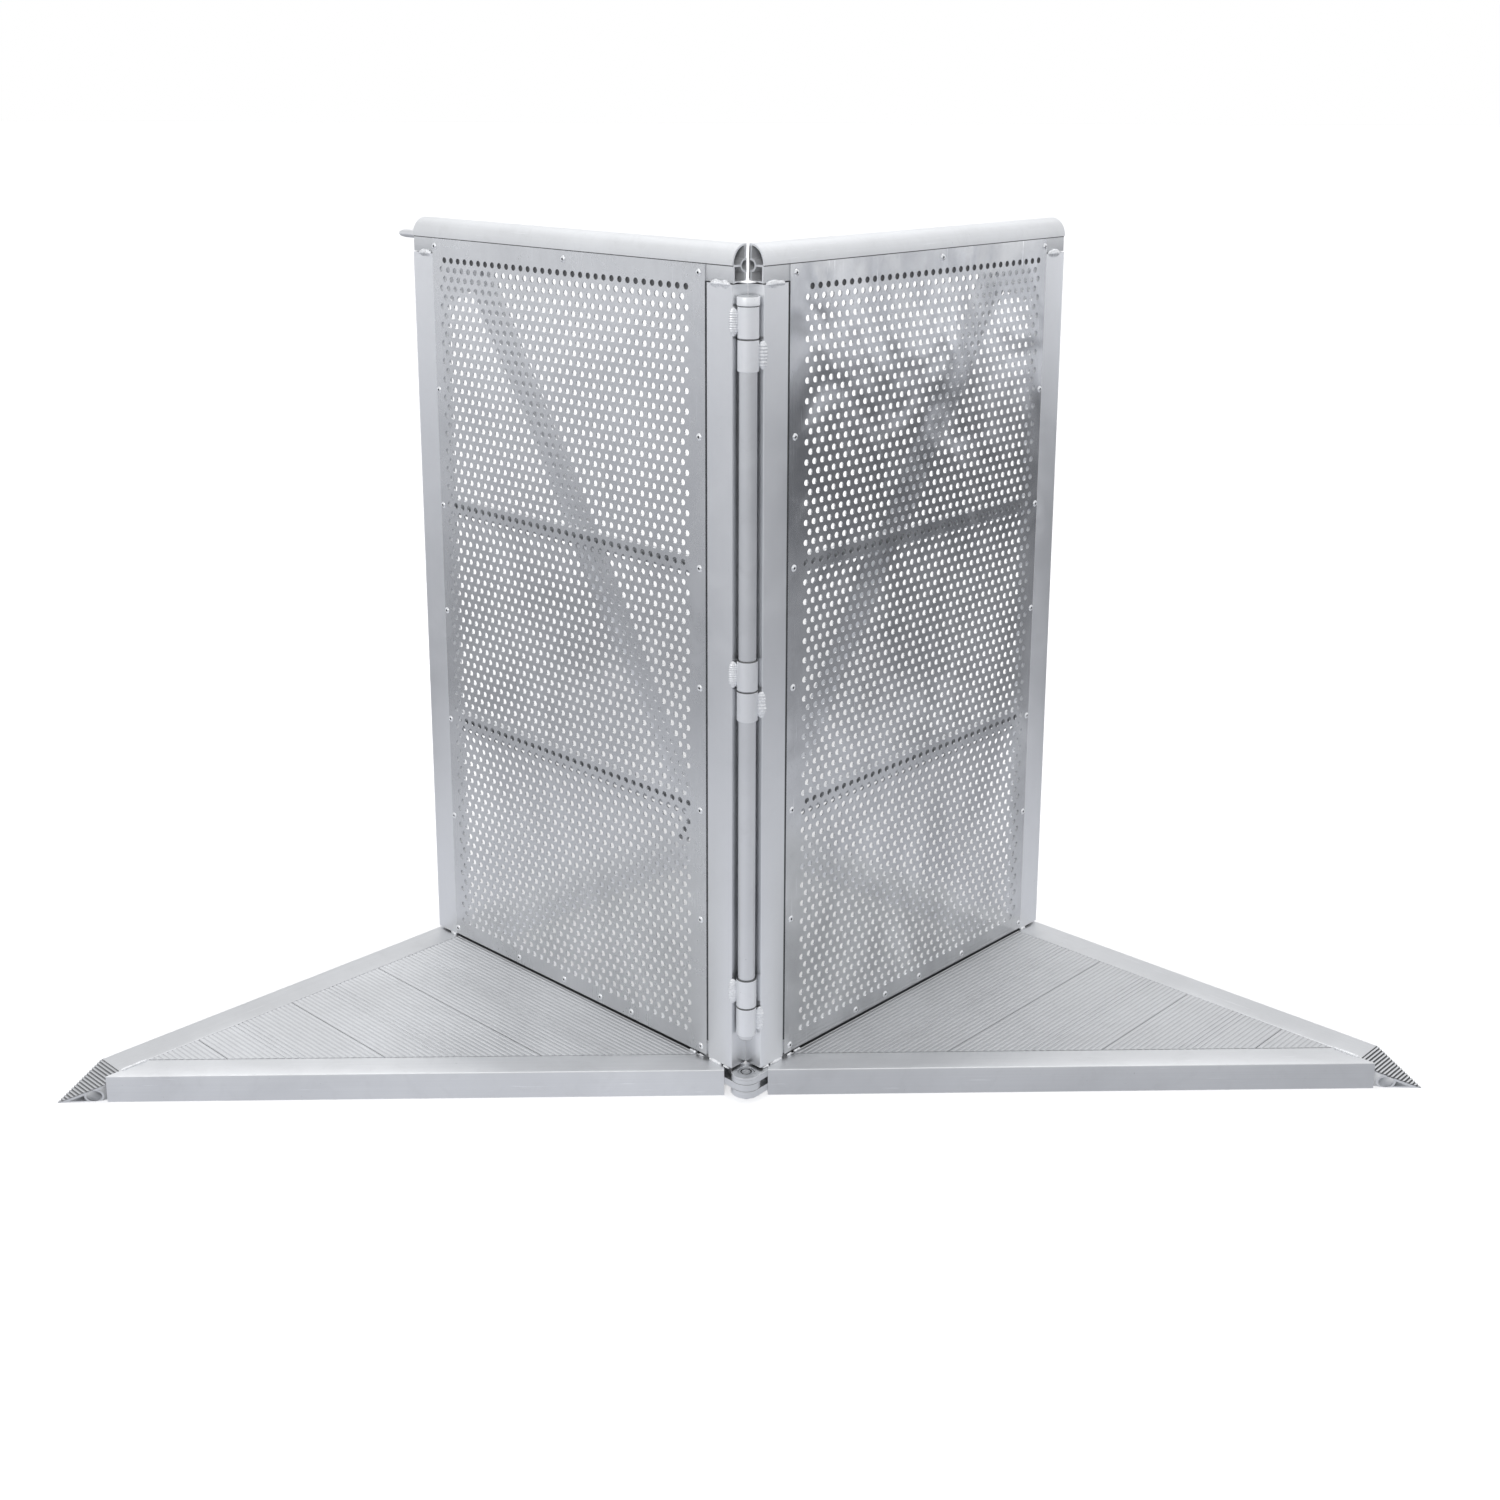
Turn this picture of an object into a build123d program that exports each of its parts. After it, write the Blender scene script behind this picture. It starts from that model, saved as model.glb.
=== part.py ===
from build123d import *
import os

# Hinged two-leaf corner unit of an aluminium crowd barrier, in millimetres.
# The hinge axis is the world Z axis and the floor is z = 0.
# Each leaf is drawn in its own frame: u runs along the panel from the hinge edge to the outer
# edge, v runs from the front face of the panel to the rear, z is up. The right leaf is that
# frame turned by leaf_turn about Z, and the left leaf is its mirror image across X = 0.

# ---- Whole unit ----
barrier_height = 1200.0
leaf_width = 672.0
leaf_turn = 45.0
hinge_corner_x = 20.6
hinge_corner_y = 2.5
centre_gap = 2.0

# ---- Panel frame ----
stile_width = 47.0
stile_depth = 29.0
stile_wall = 3.0
stile_bottom = 43.0
flange_width = 28.0
flange_wall = 3.0
rail_bottom = 1150.0
rail_lip = 1173.0
rail_depth = 48.0
rail_wall = 2.5
rail_recess = 2.0
ring_outer_radius = 9.0
ring_bore_radius = 6.3
ring_level = 1172.0
edge_rail_height = 19.0
edge_rail_depth = 25.0
cross_rail_height = 20.0
cross_rail_depth = 20.0
cross_rail_levels = {"upper": 761.0, "lower": 413.0}
small_wall = 2.0

# ---- Sheet ----
sheet_thickness = 2.0
sheet_bottom = 45.0
sheet_hinge_gap = 2.5
flange_end_clearance = 3.0

# ---- Rivets ----
rivet_head_radius = 4.4
rivet_head_height = 1.7
rivet_shank_radius = 2.4
rivet_tail_radius = 3.4
rivet_top_level = 1160.0
rivet_bottom_level = 55.0
rivet_side_levels = (251.0, 415.0, 594.0, 763.0, 943.0)
rivet_edge_near = 61.0
rivet_edge_far = leaf_width - 52.0
rivet_tail_length = 3.0
rivet_crown_radius = 2.4
rivet_mandrel_radius = 1.3
rivet_pocket_clearance = 0.2
rivet_top_middle = {"left": 328.0, "right": 370.0}
rivet_bottom_places = (207.0, 276.0, 358.0, 466.0)

# ---- Hinge ----
rod_radius = 12.0
rod_bottom = 91.0
collar_radius = 15.2
collar_height = 12.0
collar_clearance = 0.1
collar_chamfer = 1.5
rod_foot_rounding = 6.0
knuckle_radius = 14.2
knuckle_bore_radius = 12.05
knuckle_length = 42.5
knuckle_gap = 0.4
knuckle_pair_levels = (1080.0, 606.0, 142.0)

# ---- Floor plate ----
plate_height = 40.0
plate_front_y = 3.0
front_tube_width = 46.0
front_tube_end_x = 31.0
side_tube_width = 50.0
side_tube_rear = 640.0
panel_tube_width = 46.0
plate_wall = 3.0
ridge_v = -600.0
nose_length = 71.0
nose_skin = 2.5
nose_ring_v = -634.0
nose_ring_level = 10.0
nose_ring_outer_radius = 10.0
nose_ring_bore_radius = 8.0
nose_rib_count = 17
nose_rib_proud = 0.9
nose_rib_sunk = 0.6
nose_heel = 5.5
nose_side_clearance = 0.2
plank_count = 4
plank_pitch = 158.5
plank_gap = 0.5
plank_skin = 3.0
plank_leg_depth = 22.0
plank_leg_wall = 3.0
rib_count = 22
rib_height = 1.5
rib_width = 3.4

# ---- Floor pivot ----
lug_radius = 21.0
lug_base = 8.4
lug_thickness = 10.2
lug_pitch = 10.6
top_lug_index = 2
lug_reach_y = 30.0
lug_shoulder_x = 15.1
lug_shoulder_y = -14.5
pivot_bolt_radius = 8.0
pivot_bore_radius = 8.05
pivot_head_radius = 11.5
pivot_head_height = 3.0
pivot_head_sink = 3.8
pivot_head_rounding = 0.8
pivot_counterbore_radius = 11.8
pivot_counterbore_clearance = 0.1
pivot_socket_across = 8.0
pivot_socket_depth = 2.0

# ---- Rear brace ----
brace_size = 30.0
brace_wall = 3.0
brace_top_v = 105.0
brace_top_level = 1118.0
brace_foot_v = 578.0
brace_foot_level = 66.0
brace_overrun = 17.0
cheek_wall = 5.0
cheek_gap = 0.3
brace_bolt_radius = 6.0
brace_nut_height = 8.0
brace_nut_across = 19.0
brace_bolt_head = 7.5
brace_bolt_overrun = 10.0
# Side outlines of the bracket cheeks, as steps along v and z from the bolt.
top_cheek_root_drop = 48.0
top_cheek_root_rise = 26.0
cheek_end = 18.0
cheek_corner = 8.0
foot_cheek_heel = 38.0
foot_cheek_toe = 34.0
foot_cheek_shoulder = (15.0, 12.0)

# ---- Coupling pin ----
pin_radius = 6.0
pin_reach = 65.0
pin_tip = 20.0
pin_root = 60.0
pin_tip_radius = 1.5

# ---- Weld beads ----
knuckle_bead_radius = 4.0
knuckle_bead_setback = 4.0
rail_bead_radius = 3.5
rail_bead_near = (8.0, 36.0)
rail_bead_far = (3.0, 16.0)
foot_bead_front_v = (0.5, 5.0)
foot_bead_rear_v = (5.0, 1.0)
foot_bead_front_near = (6.0, 42.0)
foot_bead_front_far = (2.0, 16.0)
foot_bead_rear_near = (10.0, 42.0)
foot_bead_rear_far = (5.0, 5.0)
corner_bead_radius = 3.0
corner_bead_length = 42.0
corner_bead_setback = 2.0

stile_inner_far = leaf_width - stile_width
side_tube_inner = leaf_width - side_tube_width
rail_centre_v = rail_depth / 2
brace_u = leaf_width - stile_width / 2
far_away = 3000.0


# ---- Helpers ----
def block(u0, u1, v0, v1, z0, z1):
    """Solid box between two corners."""
    return Pos(u0, v0, z0) * Box(u1 - u0, v1 - v0, z1 - z0, align=(Align.MIN, Align.MIN, Align.MIN))


def upright(x, y, z0, z1, radius):
    """Vertical round bar."""
    return Pos(x, y, z0) * Cylinder(radius, z1 - z0, align=(Align.CENTER, Align.CENTER, Align.MIN))


def bar_along_u(u0, u1, v, z, radius):
    """Round bar along the panel."""
    plane = Plane(origin=(u0, v, z), x_dir=(0, 1, 0), z_dir=(1, 0, 0))
    return extrude(plane * Circle(radius), u1 - u0)


def bar_along_v(u, v0, v1, z, radius):
    """Round bar square to the panel."""
    plane = Plane(origin=(u, v0, z), x_dir=(0, 0, 1), z_dir=(0, 1, 0))
    return extrude(plane * Circle(radius), v1 - v0)


def leaf_to_world(shape):
    """Right-hand leaf frame to world frame."""
    return Pos(hinge_corner_x, hinge_corner_y, 0) * Rot(0, 0, leaf_turn) * shape


def world_to_leaf(shape):
    """World frame to right-hand leaf frame."""
    return Rot(0, 0, -leaf_turn) * Pos(-hinge_corner_x, -hinge_corner_y, 0) * shape


def half_space(x0, y0):
    """Everything with x > x0 and y > y0, as one very large block in the leaf frame."""
    return world_to_leaf(block(x0, x0 + far_away, y0, y0 + far_away, -far_away, far_away))


def section_along_u(outline, u0, u1):
    """Extrude a closed (v, z) outline along the panel."""
    plane = Plane(origin=(u0, 0, 0), x_dir=(0, 1, 0), z_dir=(1, 0, 0))
    return extrude(plane * outline, u1 - u0)


def plate_across_u(points, u0, u1):
    """Flat plate with a (v, z) polygon outline, between two u values."""
    return section_along_u(make_face(Polyline(*points, close=True)), u0, u1)


def hexagon_bar(u0, u1, v, z, across):
    """Hexagon bar along the panel, used for bolt heads and nuts."""
    return section_along_u(Pos(v, z) * RegularPolygon(across / 2, 6, major_radius=False), u0, u1)


# ---- Panel frame ----
def stile(u_tube, u_flange):
    """Rectangular tube with a set-back flange that the sheet is riveted to."""
    outer = block(u_tube, u_tube + stile_width, 0, stile_depth, stile_bottom, rail_bottom)
    hollow = block(u_tube + stile_wall, u_tube + stile_width - stile_wall,
                   stile_wall, stile_depth - stile_wall, stile_bottom, rail_bottom)
    flange = block(u_flange, u_flange + flange_width, sheet_thickness, sheet_thickness + flange_wall,
                   sheet_bottom + edge_rail_height + flange_end_clearance, rail_bottom - edge_rail_height)
    return outer - hollow + flange


def hinge_stile(side):
    return stile(0, stile_width) - rivet_holes(side)


def outer_stile(side):
    return stile(stile_inner_far, stile_inner_far - flange_width) - rivet_holes(side)


def rail_outline(inset):
    """Top rail section: upright sides under a domed cap, shrunk by inset on every face."""
    cap_width = rail_depth - 2 * inset
    cap_rise = barrier_height - rail_lip - inset
    foot_width = rail_depth - 2 * rail_recess - 2 * inset
    foot_height = rail_lip - rail_bottom - inset
    dome = Pos(rail_centre_v, rail_lip) * Ellipse(cap_width / 2, cap_rise)
    upper = Pos(rail_centre_v, rail_lip) * Rectangle(cap_width, cap_rise, align=(Align.CENTER, Align.MIN))
    foot = Pos(rail_centre_v, rail_lip) * Rectangle(foot_width, foot_height, align=(Align.CENTER, Align.MAX))
    return (dome & upper) + foot


def top_rail(side):
    """Domed handrail extrusion with inner webs around a round channel."""
    channel_boss = Pos(rail_centre_v, ring_level) * Circle(ring_outer_radius)
    level_web = Pos(rail_centre_v, ring_level) * Rectangle(rail_depth, small_wall)
    upright_web = Pos(rail_centre_v, ring_level) * Rectangle(small_wall, 2 * rail_depth)
    cavity = rail_outline(rail_wall) - channel_boss - level_web - upright_web
    channel = Pos(rail_centre_v, ring_level) * Circle(ring_bore_radius)
    bar = section_along_u(rail_outline(0) - cavity - channel, 0, leaf_width)
    return (bar & half_space(centre_gap, -100)) - rivet_holes(side)


def edge_rail(side, z0):
    """Tube between the stiles, flat against the back of the sheet."""
    outer = block(stile_width, stile_inner_far, sheet_thickness, sheet_thickness + edge_rail_depth,
                  z0, z0 + edge_rail_height)
    hollow = block(stile_width, stile_inner_far, sheet_thickness + small_wall,
                   sheet_thickness + edge_rail_depth - small_wall,
                   z0 + small_wall, z0 + edge_rail_height - small_wall)
    return (outer - hollow) - rivet_holes(side)


def cross_rail(side, level):
    """Slim tube between the stiles, behind their flanges."""
    v0 = sheet_thickness + flange_wall
    z0 = level - cross_rail_height / 2
    outer = block(stile_width, stile_inner_far, v0, v0 + cross_rail_depth, z0, z0 + cross_rail_height)
    hollow = block(stile_width, stile_inner_far, v0 + small_wall, v0 + cross_rail_depth - small_wall,
                   z0 + small_wall, z0 + cross_rail_height - small_wall)
    return outer - hollow - rivet_tail_pockets(side)


# ---- Sheet and rivets ----
def rivet_places(side):
    """(u, z) of every rivet of one leaf: a top row, two edge columns and a bottom row."""
    places = []
    for u in (rivet_edge_near, rivet_top_middle[side], rivet_edge_far):
        places.append((u, rivet_top_level))
    for u in (rivet_edge_near, rivet_edge_far):
        for z in rivet_side_levels:
            places.append((u, z))
    for u in (rivet_edge_near, *rivet_bottom_places, rivet_edge_far):
        places.append((u, rivet_bottom_level))
    return places


def rivet_holes(side):
    """Drillings for the rivet shanks, through the sheet and the wall behind it."""
    depth = sheet_thickness + flange_wall
    return [bar_along_v(u, -1, depth, z, rivet_shank_radius) for u, z in rivet_places(side)]


def rivet_tail_pockets(side):
    """Clearance holes in the cross rails for the set tails of the edge rivets."""
    depth = sheet_thickness + flange_wall + rivet_tail_length
    radius = rivet_tail_radius + rivet_pocket_clearance
    return [bar_along_v(u, -1, depth, z, radius) for u, z in rivet_places(side)]


def rivet(u, z):
    """Blind rivet: domed head with a mandrel hole, shank and set tail."""
    flat = Pos(u, 0, z) * Rot(90, 0, 0)
    dome = flat * Cone(rivet_head_radius, rivet_crown_radius, rivet_head_height,
                       align=(Align.CENTER, Align.CENTER, Align.MIN))
    back = sheet_thickness + flange_wall
    shank = bar_along_v(u, 0, back, z, rivet_shank_radius)
    tail = bar_along_v(u, back, back + rivet_tail_length, z, rivet_tail_radius)
    mandrel_hole = bar_along_v(u, -2 * rivet_head_height, 0, z, rivet_mandrel_radius)
    return dome + shank + tail - mandrel_hole


def sheet_rivets(side):
    return Compound([rivet(u, z) for u, z in rivet_places(side)])


def perforated_sheet(side):
    """Infill sheet, drawn without its perforation and with its rivet holes."""
    plate = block(stile_width + sheet_hinge_gap, stile_inner_far, 0, sheet_thickness, sheet_bottom, rail_lip)
    return plate - rivet_holes(side)


# ---- Hinge ----
def knuckle_span(pair_level, is_upper):
    """Bottom and top of one knuckle of a pair."""
    if is_upper:
        return pair_level + knuckle_gap / 2, pair_level + knuckle_gap / 2 + knuckle_length
    return pair_level - knuckle_gap / 2 - knuckle_length, pair_level - knuckle_gap / 2


def hinge_knuckles(is_upper):
    """Tube knuckles around the hinge rod; the left leaf has the upper one of each pair."""
    knuckles = []
    for level in knuckle_pair_levels:
        z0, z1 = knuckle_span(level, is_upper)
        tube = upright(0, 0, z0, z1, knuckle_radius) - upright(0, 0, z0, z1, knuckle_bore_radius)
        knuckles.append(world_to_leaf(tube))
    return Compound(knuckles)


def knuckle_welds(is_upper):
    """Upright weld beads between each knuckle and the front corner of the hinge stile."""
    bead_x = (knuckle_radius + hinge_corner_x) / 2
    post = block(-1, stile_width, 0, stile_depth, 0, barrier_height)
    beads = []
    for level in knuckle_pair_levels:
        z0, z1 = knuckle_span(level, is_upper)
        bead = upright(bead_x, hinge_corner_y / 2, z0 + knuckle_bead_setback, z1 - knuckle_bead_setback,
                       knuckle_bead_radius)
        bead = bead - upright(0, 0, z0, z1, knuckle_radius)
        beads.append(world_to_leaf(bead) - post)
    return Compound(beads)


def hinge_rod():
    """Drop-in rod with a rounded foot, resting by its collar on the top knuckle."""
    rod = upright(0, 0, rod_bottom, collar_bottom(), rod_radius)
    return fillet(rod.edges().group_by(Axis.Z)[0], rod_foot_rounding)


def rod_collar():
    collar = upright(0, 0, collar_bottom(), collar_bottom() + collar_height, collar_radius)
    return chamfer(collar.edges().group_by(Axis.Z)[-1], collar_chamfer)


def collar_bottom():
    return knuckle_span(knuckle_pair_levels[0], True)[1] + collar_clearance


# ---- Floor plate ----
def front_tube():
    """Tube along the front line, square cut at the pivot and mitred against the side tube."""
    x1 = front_tube_end_x + 2 * leaf_width
    y1 = plate_front_y + front_tube_width
    outer = block(front_tube_end_x, x1, plate_front_y, y1, 0, plate_height)
    hollow = block(front_tube_end_x, x1, plate_front_y + plate_wall, y1 - plate_wall,
                   plate_wall, plate_height - plate_wall)
    beyond = block(side_tube_inner, far_away, -far_away, far_away, -plate_height, 2 * plate_height)
    return world_to_leaf(outer - hollow) - beyond


def side_tube():
    """Long tube from the ramp nose, under the outer stile, to the rear foot."""
    outer = block(side_tube_inner, leaf_width, ridge_v, side_tube_rear, 0, plate_height)
    hollow = block(side_tube_inner + plate_wall, leaf_width - plate_wall, ridge_v, side_tube_rear,
                   plate_wall, plate_height - plate_wall)
    return outer - hollow


def panel_tube():
    """Tube under the panel, from the front tube to the side tube."""
    outer = block(0, side_tube_inner, 0, panel_tube_width, 0, plate_height)
    hollow = block(0, side_tube_inner, plate_wall, panel_tube_width - plate_wall,
                   plate_wall, plate_height - plate_wall)
    return (outer - hollow) & half_space(centre_gap, plate_front_y + front_tube_width)


def tread_plank(index):
    """Ribbed deck extrusion parallel to the panel, cut to fit inside the triangle of tubes."""
    v1 = -plank_gap - index * plank_pitch
    v0 = v1 - plank_pitch + plank_gap
    deck_top = plate_height - rib_height
    plank = block(0, side_tube_inner, v0, v1, deck_top - plank_skin, deck_top)
    rib_pitch = (v1 - v0) / rib_count
    for rib in range(rib_count):
        rib_v = v0 + (rib + 0.5) * rib_pitch
        half_width = rib_width / 2
        plank += block(0, side_tube_inner, rib_v - half_width, rib_v + half_width, deck_top, plate_height)
    for leg_v in (v0, (v0 + v1 - plank_leg_wall) / 2, v1 - plank_leg_wall):
        plank += block(0, side_tube_inner, leg_v, leg_v + plank_leg_wall,
                       deck_top - plank_leg_depth, deck_top - plank_skin)
    return plank & half_space(centre_gap, plate_front_y + front_tube_width)


def ramp_nose():
    """Ribbed wedge extrusion at the outer tip, hollow, with a round channel for a joining spigot."""
    tip_v = ridge_v - nose_length
    slope = plate_height / nose_length
    outer = make_face(Polyline((ridge_v, 0), (ridge_v, plate_height), (tip_v, 0), close=True))
    inner_top = plate_height - nose_heel
    inner_v = ridge_v - nose_skin
    inner_tip_v = inner_v - (inner_top - nose_skin) / slope
    inner_points = [(inner_v, nose_skin), (inner_v, inner_top), (inner_tip_v, nose_skin)]
    inner = make_face(Polyline(*inner_points, close=True))
    boss = Pos(nose_ring_v, nose_ring_level) * Circle(nose_ring_outer_radius)
    section = outer - (inner - boss) - Pos(nose_ring_v, nose_ring_level) * Circle(nose_ring_bore_radius)
    wedge = section_along_u(section, side_tube_inner + nose_side_clearance, leaf_width)
    for rib in range(nose_rib_count):
        wedge += nose_rib(rib, slope)
    return wedge & half_space(centre_gap, plate_front_y)


def nose_rib(index, slope):
    """One raised grip rib on the sloping face of the ramp nose."""
    pitch = nose_length / (nose_rib_count + 0.5)
    start_v = ridge_v - (index + 0.3) * pitch
    end_v = start_v - pitch / 2
    start_z = plate_height + (start_v - ridge_v) * slope
    end_z = plate_height + (end_v - ridge_v) * slope
    points = [(start_v, start_z - nose_rib_sunk), (start_v, start_z + nose_rib_proud),
              (end_v, end_z + nose_rib_proud), (end_v, end_z - nose_rib_sunk)]
    return plate_across_u(points, side_tube_inner + nose_side_clearance, leaf_width)


# ---- Floor pivot ----
def floor_lug(level_index):
    """Flat lug with a round head on the pivot axis, butted on the end of the front tube."""
    z0 = lug_base + level_index * lug_pitch
    z1 = z0 + lug_thickness
    head = upright(0, 0, z0, z1, lug_radius)
    neck_points = [(0, -lug_radius), (lug_shoulder_x, lug_shoulder_y), (front_tube_end_x, plate_front_y),
                   (front_tube_end_x, lug_reach_y), (0, lug_radius)]
    neck = Pos(0, 0, z0) * extrude(make_face(Polyline(*neck_points, close=True)), lug_thickness)
    lug = head + neck - upright(0, 0, z0, z1, pivot_bore_radius)
    if level_index == top_lug_index:
        seat = plate_height - pivot_head_sink - pivot_counterbore_clearance
        lug -= upright(0, 0, seat, z1, pivot_counterbore_radius)
    return world_to_leaf(lug)


def floor_lugs(level_indexes):
    return Compound([floor_lug(index) for index in level_indexes])


def pivot_bolt():
    """Bolt through the three lugs: its end stands on the floor and its head sits in the top lug."""
    head_bottom = plate_height - pivot_head_sink
    head_top = head_bottom + pivot_head_height
    shank = upright(0, 0, 0, head_bottom, pivot_bolt_radius)
    head = upright(0, 0, head_bottom, head_top, pivot_head_radius)
    head = fillet(head.edges().group_by(Axis.Z)[-1], pivot_head_rounding)
    socket_outline = RegularPolygon(pivot_socket_across / 2, 6, major_radius=False)
    socket = Pos(0, 0, head_top - pivot_socket_depth) * extrude(socket_outline, pivot_socket_depth)
    return shank + head - socket


# ---- Rear brace ----
def brace():
    """Square tube from the top of the outer stile down to the rear of the side tube."""
    run = brace_foot_v - brace_top_v
    drop = brace_top_level - brace_foot_level
    length = (run ** 2 + drop ** 2) ** 0.5
    top = Vector(brace_u, brace_top_v, brace_top_level)
    plane = Plane(origin=top, x_dir=(1, 0, 0), z_dir=(0, run / length, -drop / length))
    section = Rectangle(brace_size, brace_size)
    section -= Rectangle(brace_size - 2 * brace_wall, brace_size - 2 * brace_wall)
    tube = extrude(plane.offset(-brace_overrun) * section, length + 2 * brace_overrun)
    return tube - brace_bores()


def brace_pivots():
    """(v, z) of the bolts at the two ends of the brace."""
    return ((brace_top_v, brace_top_level), (brace_foot_v, brace_foot_level))


def brace_bores():
    return [bar_along_u(brace_u - 2 * brace_size, brace_u + 2 * brace_size, v, z, brace_bolt_radius)
            for v, z in brace_pivots()]


def cheek_pair(points):
    """Two parallel cheek plates, one on each side of the brace."""
    inner = brace_size / 2 + cheek_gap
    near = plate_across_u(points, brace_u - inner - cheek_wall, brace_u - inner)
    far = plate_across_u(points, brace_u + inner, brace_u + inner + cheek_wall)
    return [near - brace_bores(), far - brace_bores()]


def brace_top_bracket():
    """Cheeks standing off the rear face of the outer stile."""
    points = [(stile_depth, brace_top_level - top_cheek_root_drop),
              (brace_top_v + cheek_corner, brace_top_level - cheek_end),
              (brace_top_v + cheek_end, brace_top_level - cheek_corner),
              (brace_top_v + cheek_end, brace_top_level + cheek_corner),
              (brace_top_v + cheek_corner, brace_top_level + cheek_end),
              (stile_depth, brace_top_level + top_cheek_root_rise)]
    return Compound(cheek_pair(points))


def brace_foot_bracket():
    """Cheeks standing on the side tube."""
    out, up = foot_cheek_shoulder
    points = [(brace_foot_v - foot_cheek_heel, plate_height), (brace_foot_v - out, brace_foot_level + up),
              (brace_foot_v - cheek_corner, brace_foot_level + cheek_end),
              (brace_foot_v + cheek_corner, brace_foot_level + cheek_end),
              (brace_foot_v + out, brace_foot_level + up), (brace_foot_v + foot_cheek_toe, plate_height)]
    return Compound(cheek_pair(points))


def brace_bolts():
    """Hexagon bolts through cheeks and brace, heads towards the hinge side."""
    half_stack = brace_size / 2 + cheek_gap + cheek_wall
    bolts = []
    for v, z in brace_pivots():
        near = brace_u - half_stack
        far = brace_u + half_stack
        shank = bar_along_u(near, far + brace_bolt_overrun, v, z, brace_bolt_radius)
        head = hexagon_bar(near - brace_bolt_head, near, v, z, brace_nut_across)
        bolts.append(shank + head)
    return Compound(bolts)


def brace_nuts():
    half_stack = brace_size / 2 + cheek_gap + cheek_wall
    nuts = []
    for v, z in brace_pivots():
        far = brace_u + half_stack
        nut = hexagon_bar(far, far + brace_nut_height, v, z, brace_nut_across)
        nuts.append(nut - bar_along_u(brace_u, brace_u + 2 * half_stack, v, z, brace_bolt_radius))
    return Compound(nuts)


# ---- Weld beads of the frame and plate ----
def frame_welds():
    """Beads across the front of each stile, at the rail and at the floor plate."""
    post = block(-stile_width, leaf_width + stile_width, 0, stile_depth, stile_bottom, rail_bottom)
    rail = block(-stile_width, leaf_width + stile_width, rail_recess, rail_depth, rail_bottom, barrier_height)
    spans = (rail_bead_near, (stile_inner_far + rail_bead_far[0], leaf_width - rail_bead_far[1]))
    beads = [bar_along_u(u0, u1, 1, rail_bottom, rail_bead_radius) - post - rail for u0, u1 in spans]
    front = (foot_bead_front_near, [stile_inner_far + u for u in foot_bead_front_far])
    for u0, u1 in front:
        beads.append(block(u0, u1, *foot_bead_front_v, plate_height, stile_bottom))
    rear_far = (stile_inner_far + foot_bead_rear_far[0], leaf_width - foot_bead_rear_far[1])
    rear = (foot_bead_rear_near, rear_far)
    for u0, u1 in rear:
        beads.append(block(u0, u1, stile_depth - foot_bead_rear_v[0], stile_depth - foot_bead_rear_v[1],
                           plate_height, stile_bottom))
    return Compound(beads)


def plate_welds():
    """Half-round bead on the mitre of the side tube and the front tube."""
    above = block(-far_away, far_away, -far_away, far_away, plate_height, 2 * plate_height)
    start = (side_tube_inner, ridge_v + corner_bead_setback, plate_height)
    plane = Plane(origin=start, x_dir=(1, 0, 0), z_dir=(0, 1, 0))
    return Compound([extrude(plane * Circle(corner_bead_radius), corner_bead_length) & above])


# ---- Coupling pin ----
def coupling_pin():
    """Bullet-nosed dowel in the channel of the left rail, entering the next unit's rail."""
    root = bar_along_u(leaf_width - pin_root, leaf_width, rail_centre_v, ring_level, ring_bore_radius)
    stem = bar_along_u(leaf_width, leaf_width + pin_reach - pin_tip, rail_centre_v, ring_level, pin_radius)
    tip_plane = Plane(origin=(leaf_width + pin_reach - pin_tip, rail_centre_v, ring_level), z_dir=(1, 0, 0))
    tip = tip_plane * Cone(pin_radius, pin_tip_radius, pin_tip, align=(Align.CENTER, Align.CENTER, Align.MIN))
    return root + stem + tip


# ---- Build and write every node ----
def leaf_nodes(side):
    """Every part of one leaf, in the leaf frame."""
    is_left = side == "left"
    nodes = {
        "hinge_stile": hinge_stile(side),
        "outer_stile": outer_stile(side),
        "top_rail": top_rail(side),
        "head_rail": edge_rail(side, rail_bottom - edge_rail_height),
        "bottom_rail": edge_rail(side, sheet_bottom),
        "perforated_sheet": perforated_sheet(side),
        "sheet_rivets": sheet_rivets(side),
        "hinge_knuckles": hinge_knuckles(is_left),
        "knuckle_welds": knuckle_welds(is_left),
        "frame_welds": frame_welds(),
        "front_tube": front_tube(),
        "side_tube": side_tube(),
        "panel_tube": panel_tube(),
        "ramp_nose": ramp_nose(),
        "floor_lugs": floor_lugs((1,) if is_left else (0, top_lug_index)),
        "plate_welds": plate_welds(),
        "brace": brace(),
        "brace_top_bracket": brace_top_bracket(),
        "brace_foot_bracket": brace_foot_bracket(),
        "brace_bolts": brace_bolts(),
        "brace_nuts": brace_nuts(),
    }
    for name, level in cross_rail_levels.items():
        nodes[f"{name}_cross_rail"] = cross_rail(side, level)
    for index in range(plank_count):
        nodes[f"tread_plank_{index + 1}"] = tread_plank(index)
    if is_left:
        nodes["coupling_pin"] = coupling_pin()
    return nodes


def main():
    os.makedirs("parts", exist_ok=True)
    for side in ("left", "right"):
        for name, shape in leaf_nodes(side).items():
            placed = leaf_to_world(shape)
            if side == "left":
                placed = mirror(placed, about=Plane.YZ)
            export_step(placed, f"parts/{side}_{name}.step")
    export_step(hinge_rod(), "parts/hinge_rod.step")
    export_step(rod_collar(), "parts/rod_collar.step")
    export_step(pivot_bolt(), "parts/pivot_bolt.step")


main()
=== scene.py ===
import math
import random

import bpy
import bmesh
from mathutils import Matrix, Vector, geometry, noise


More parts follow.
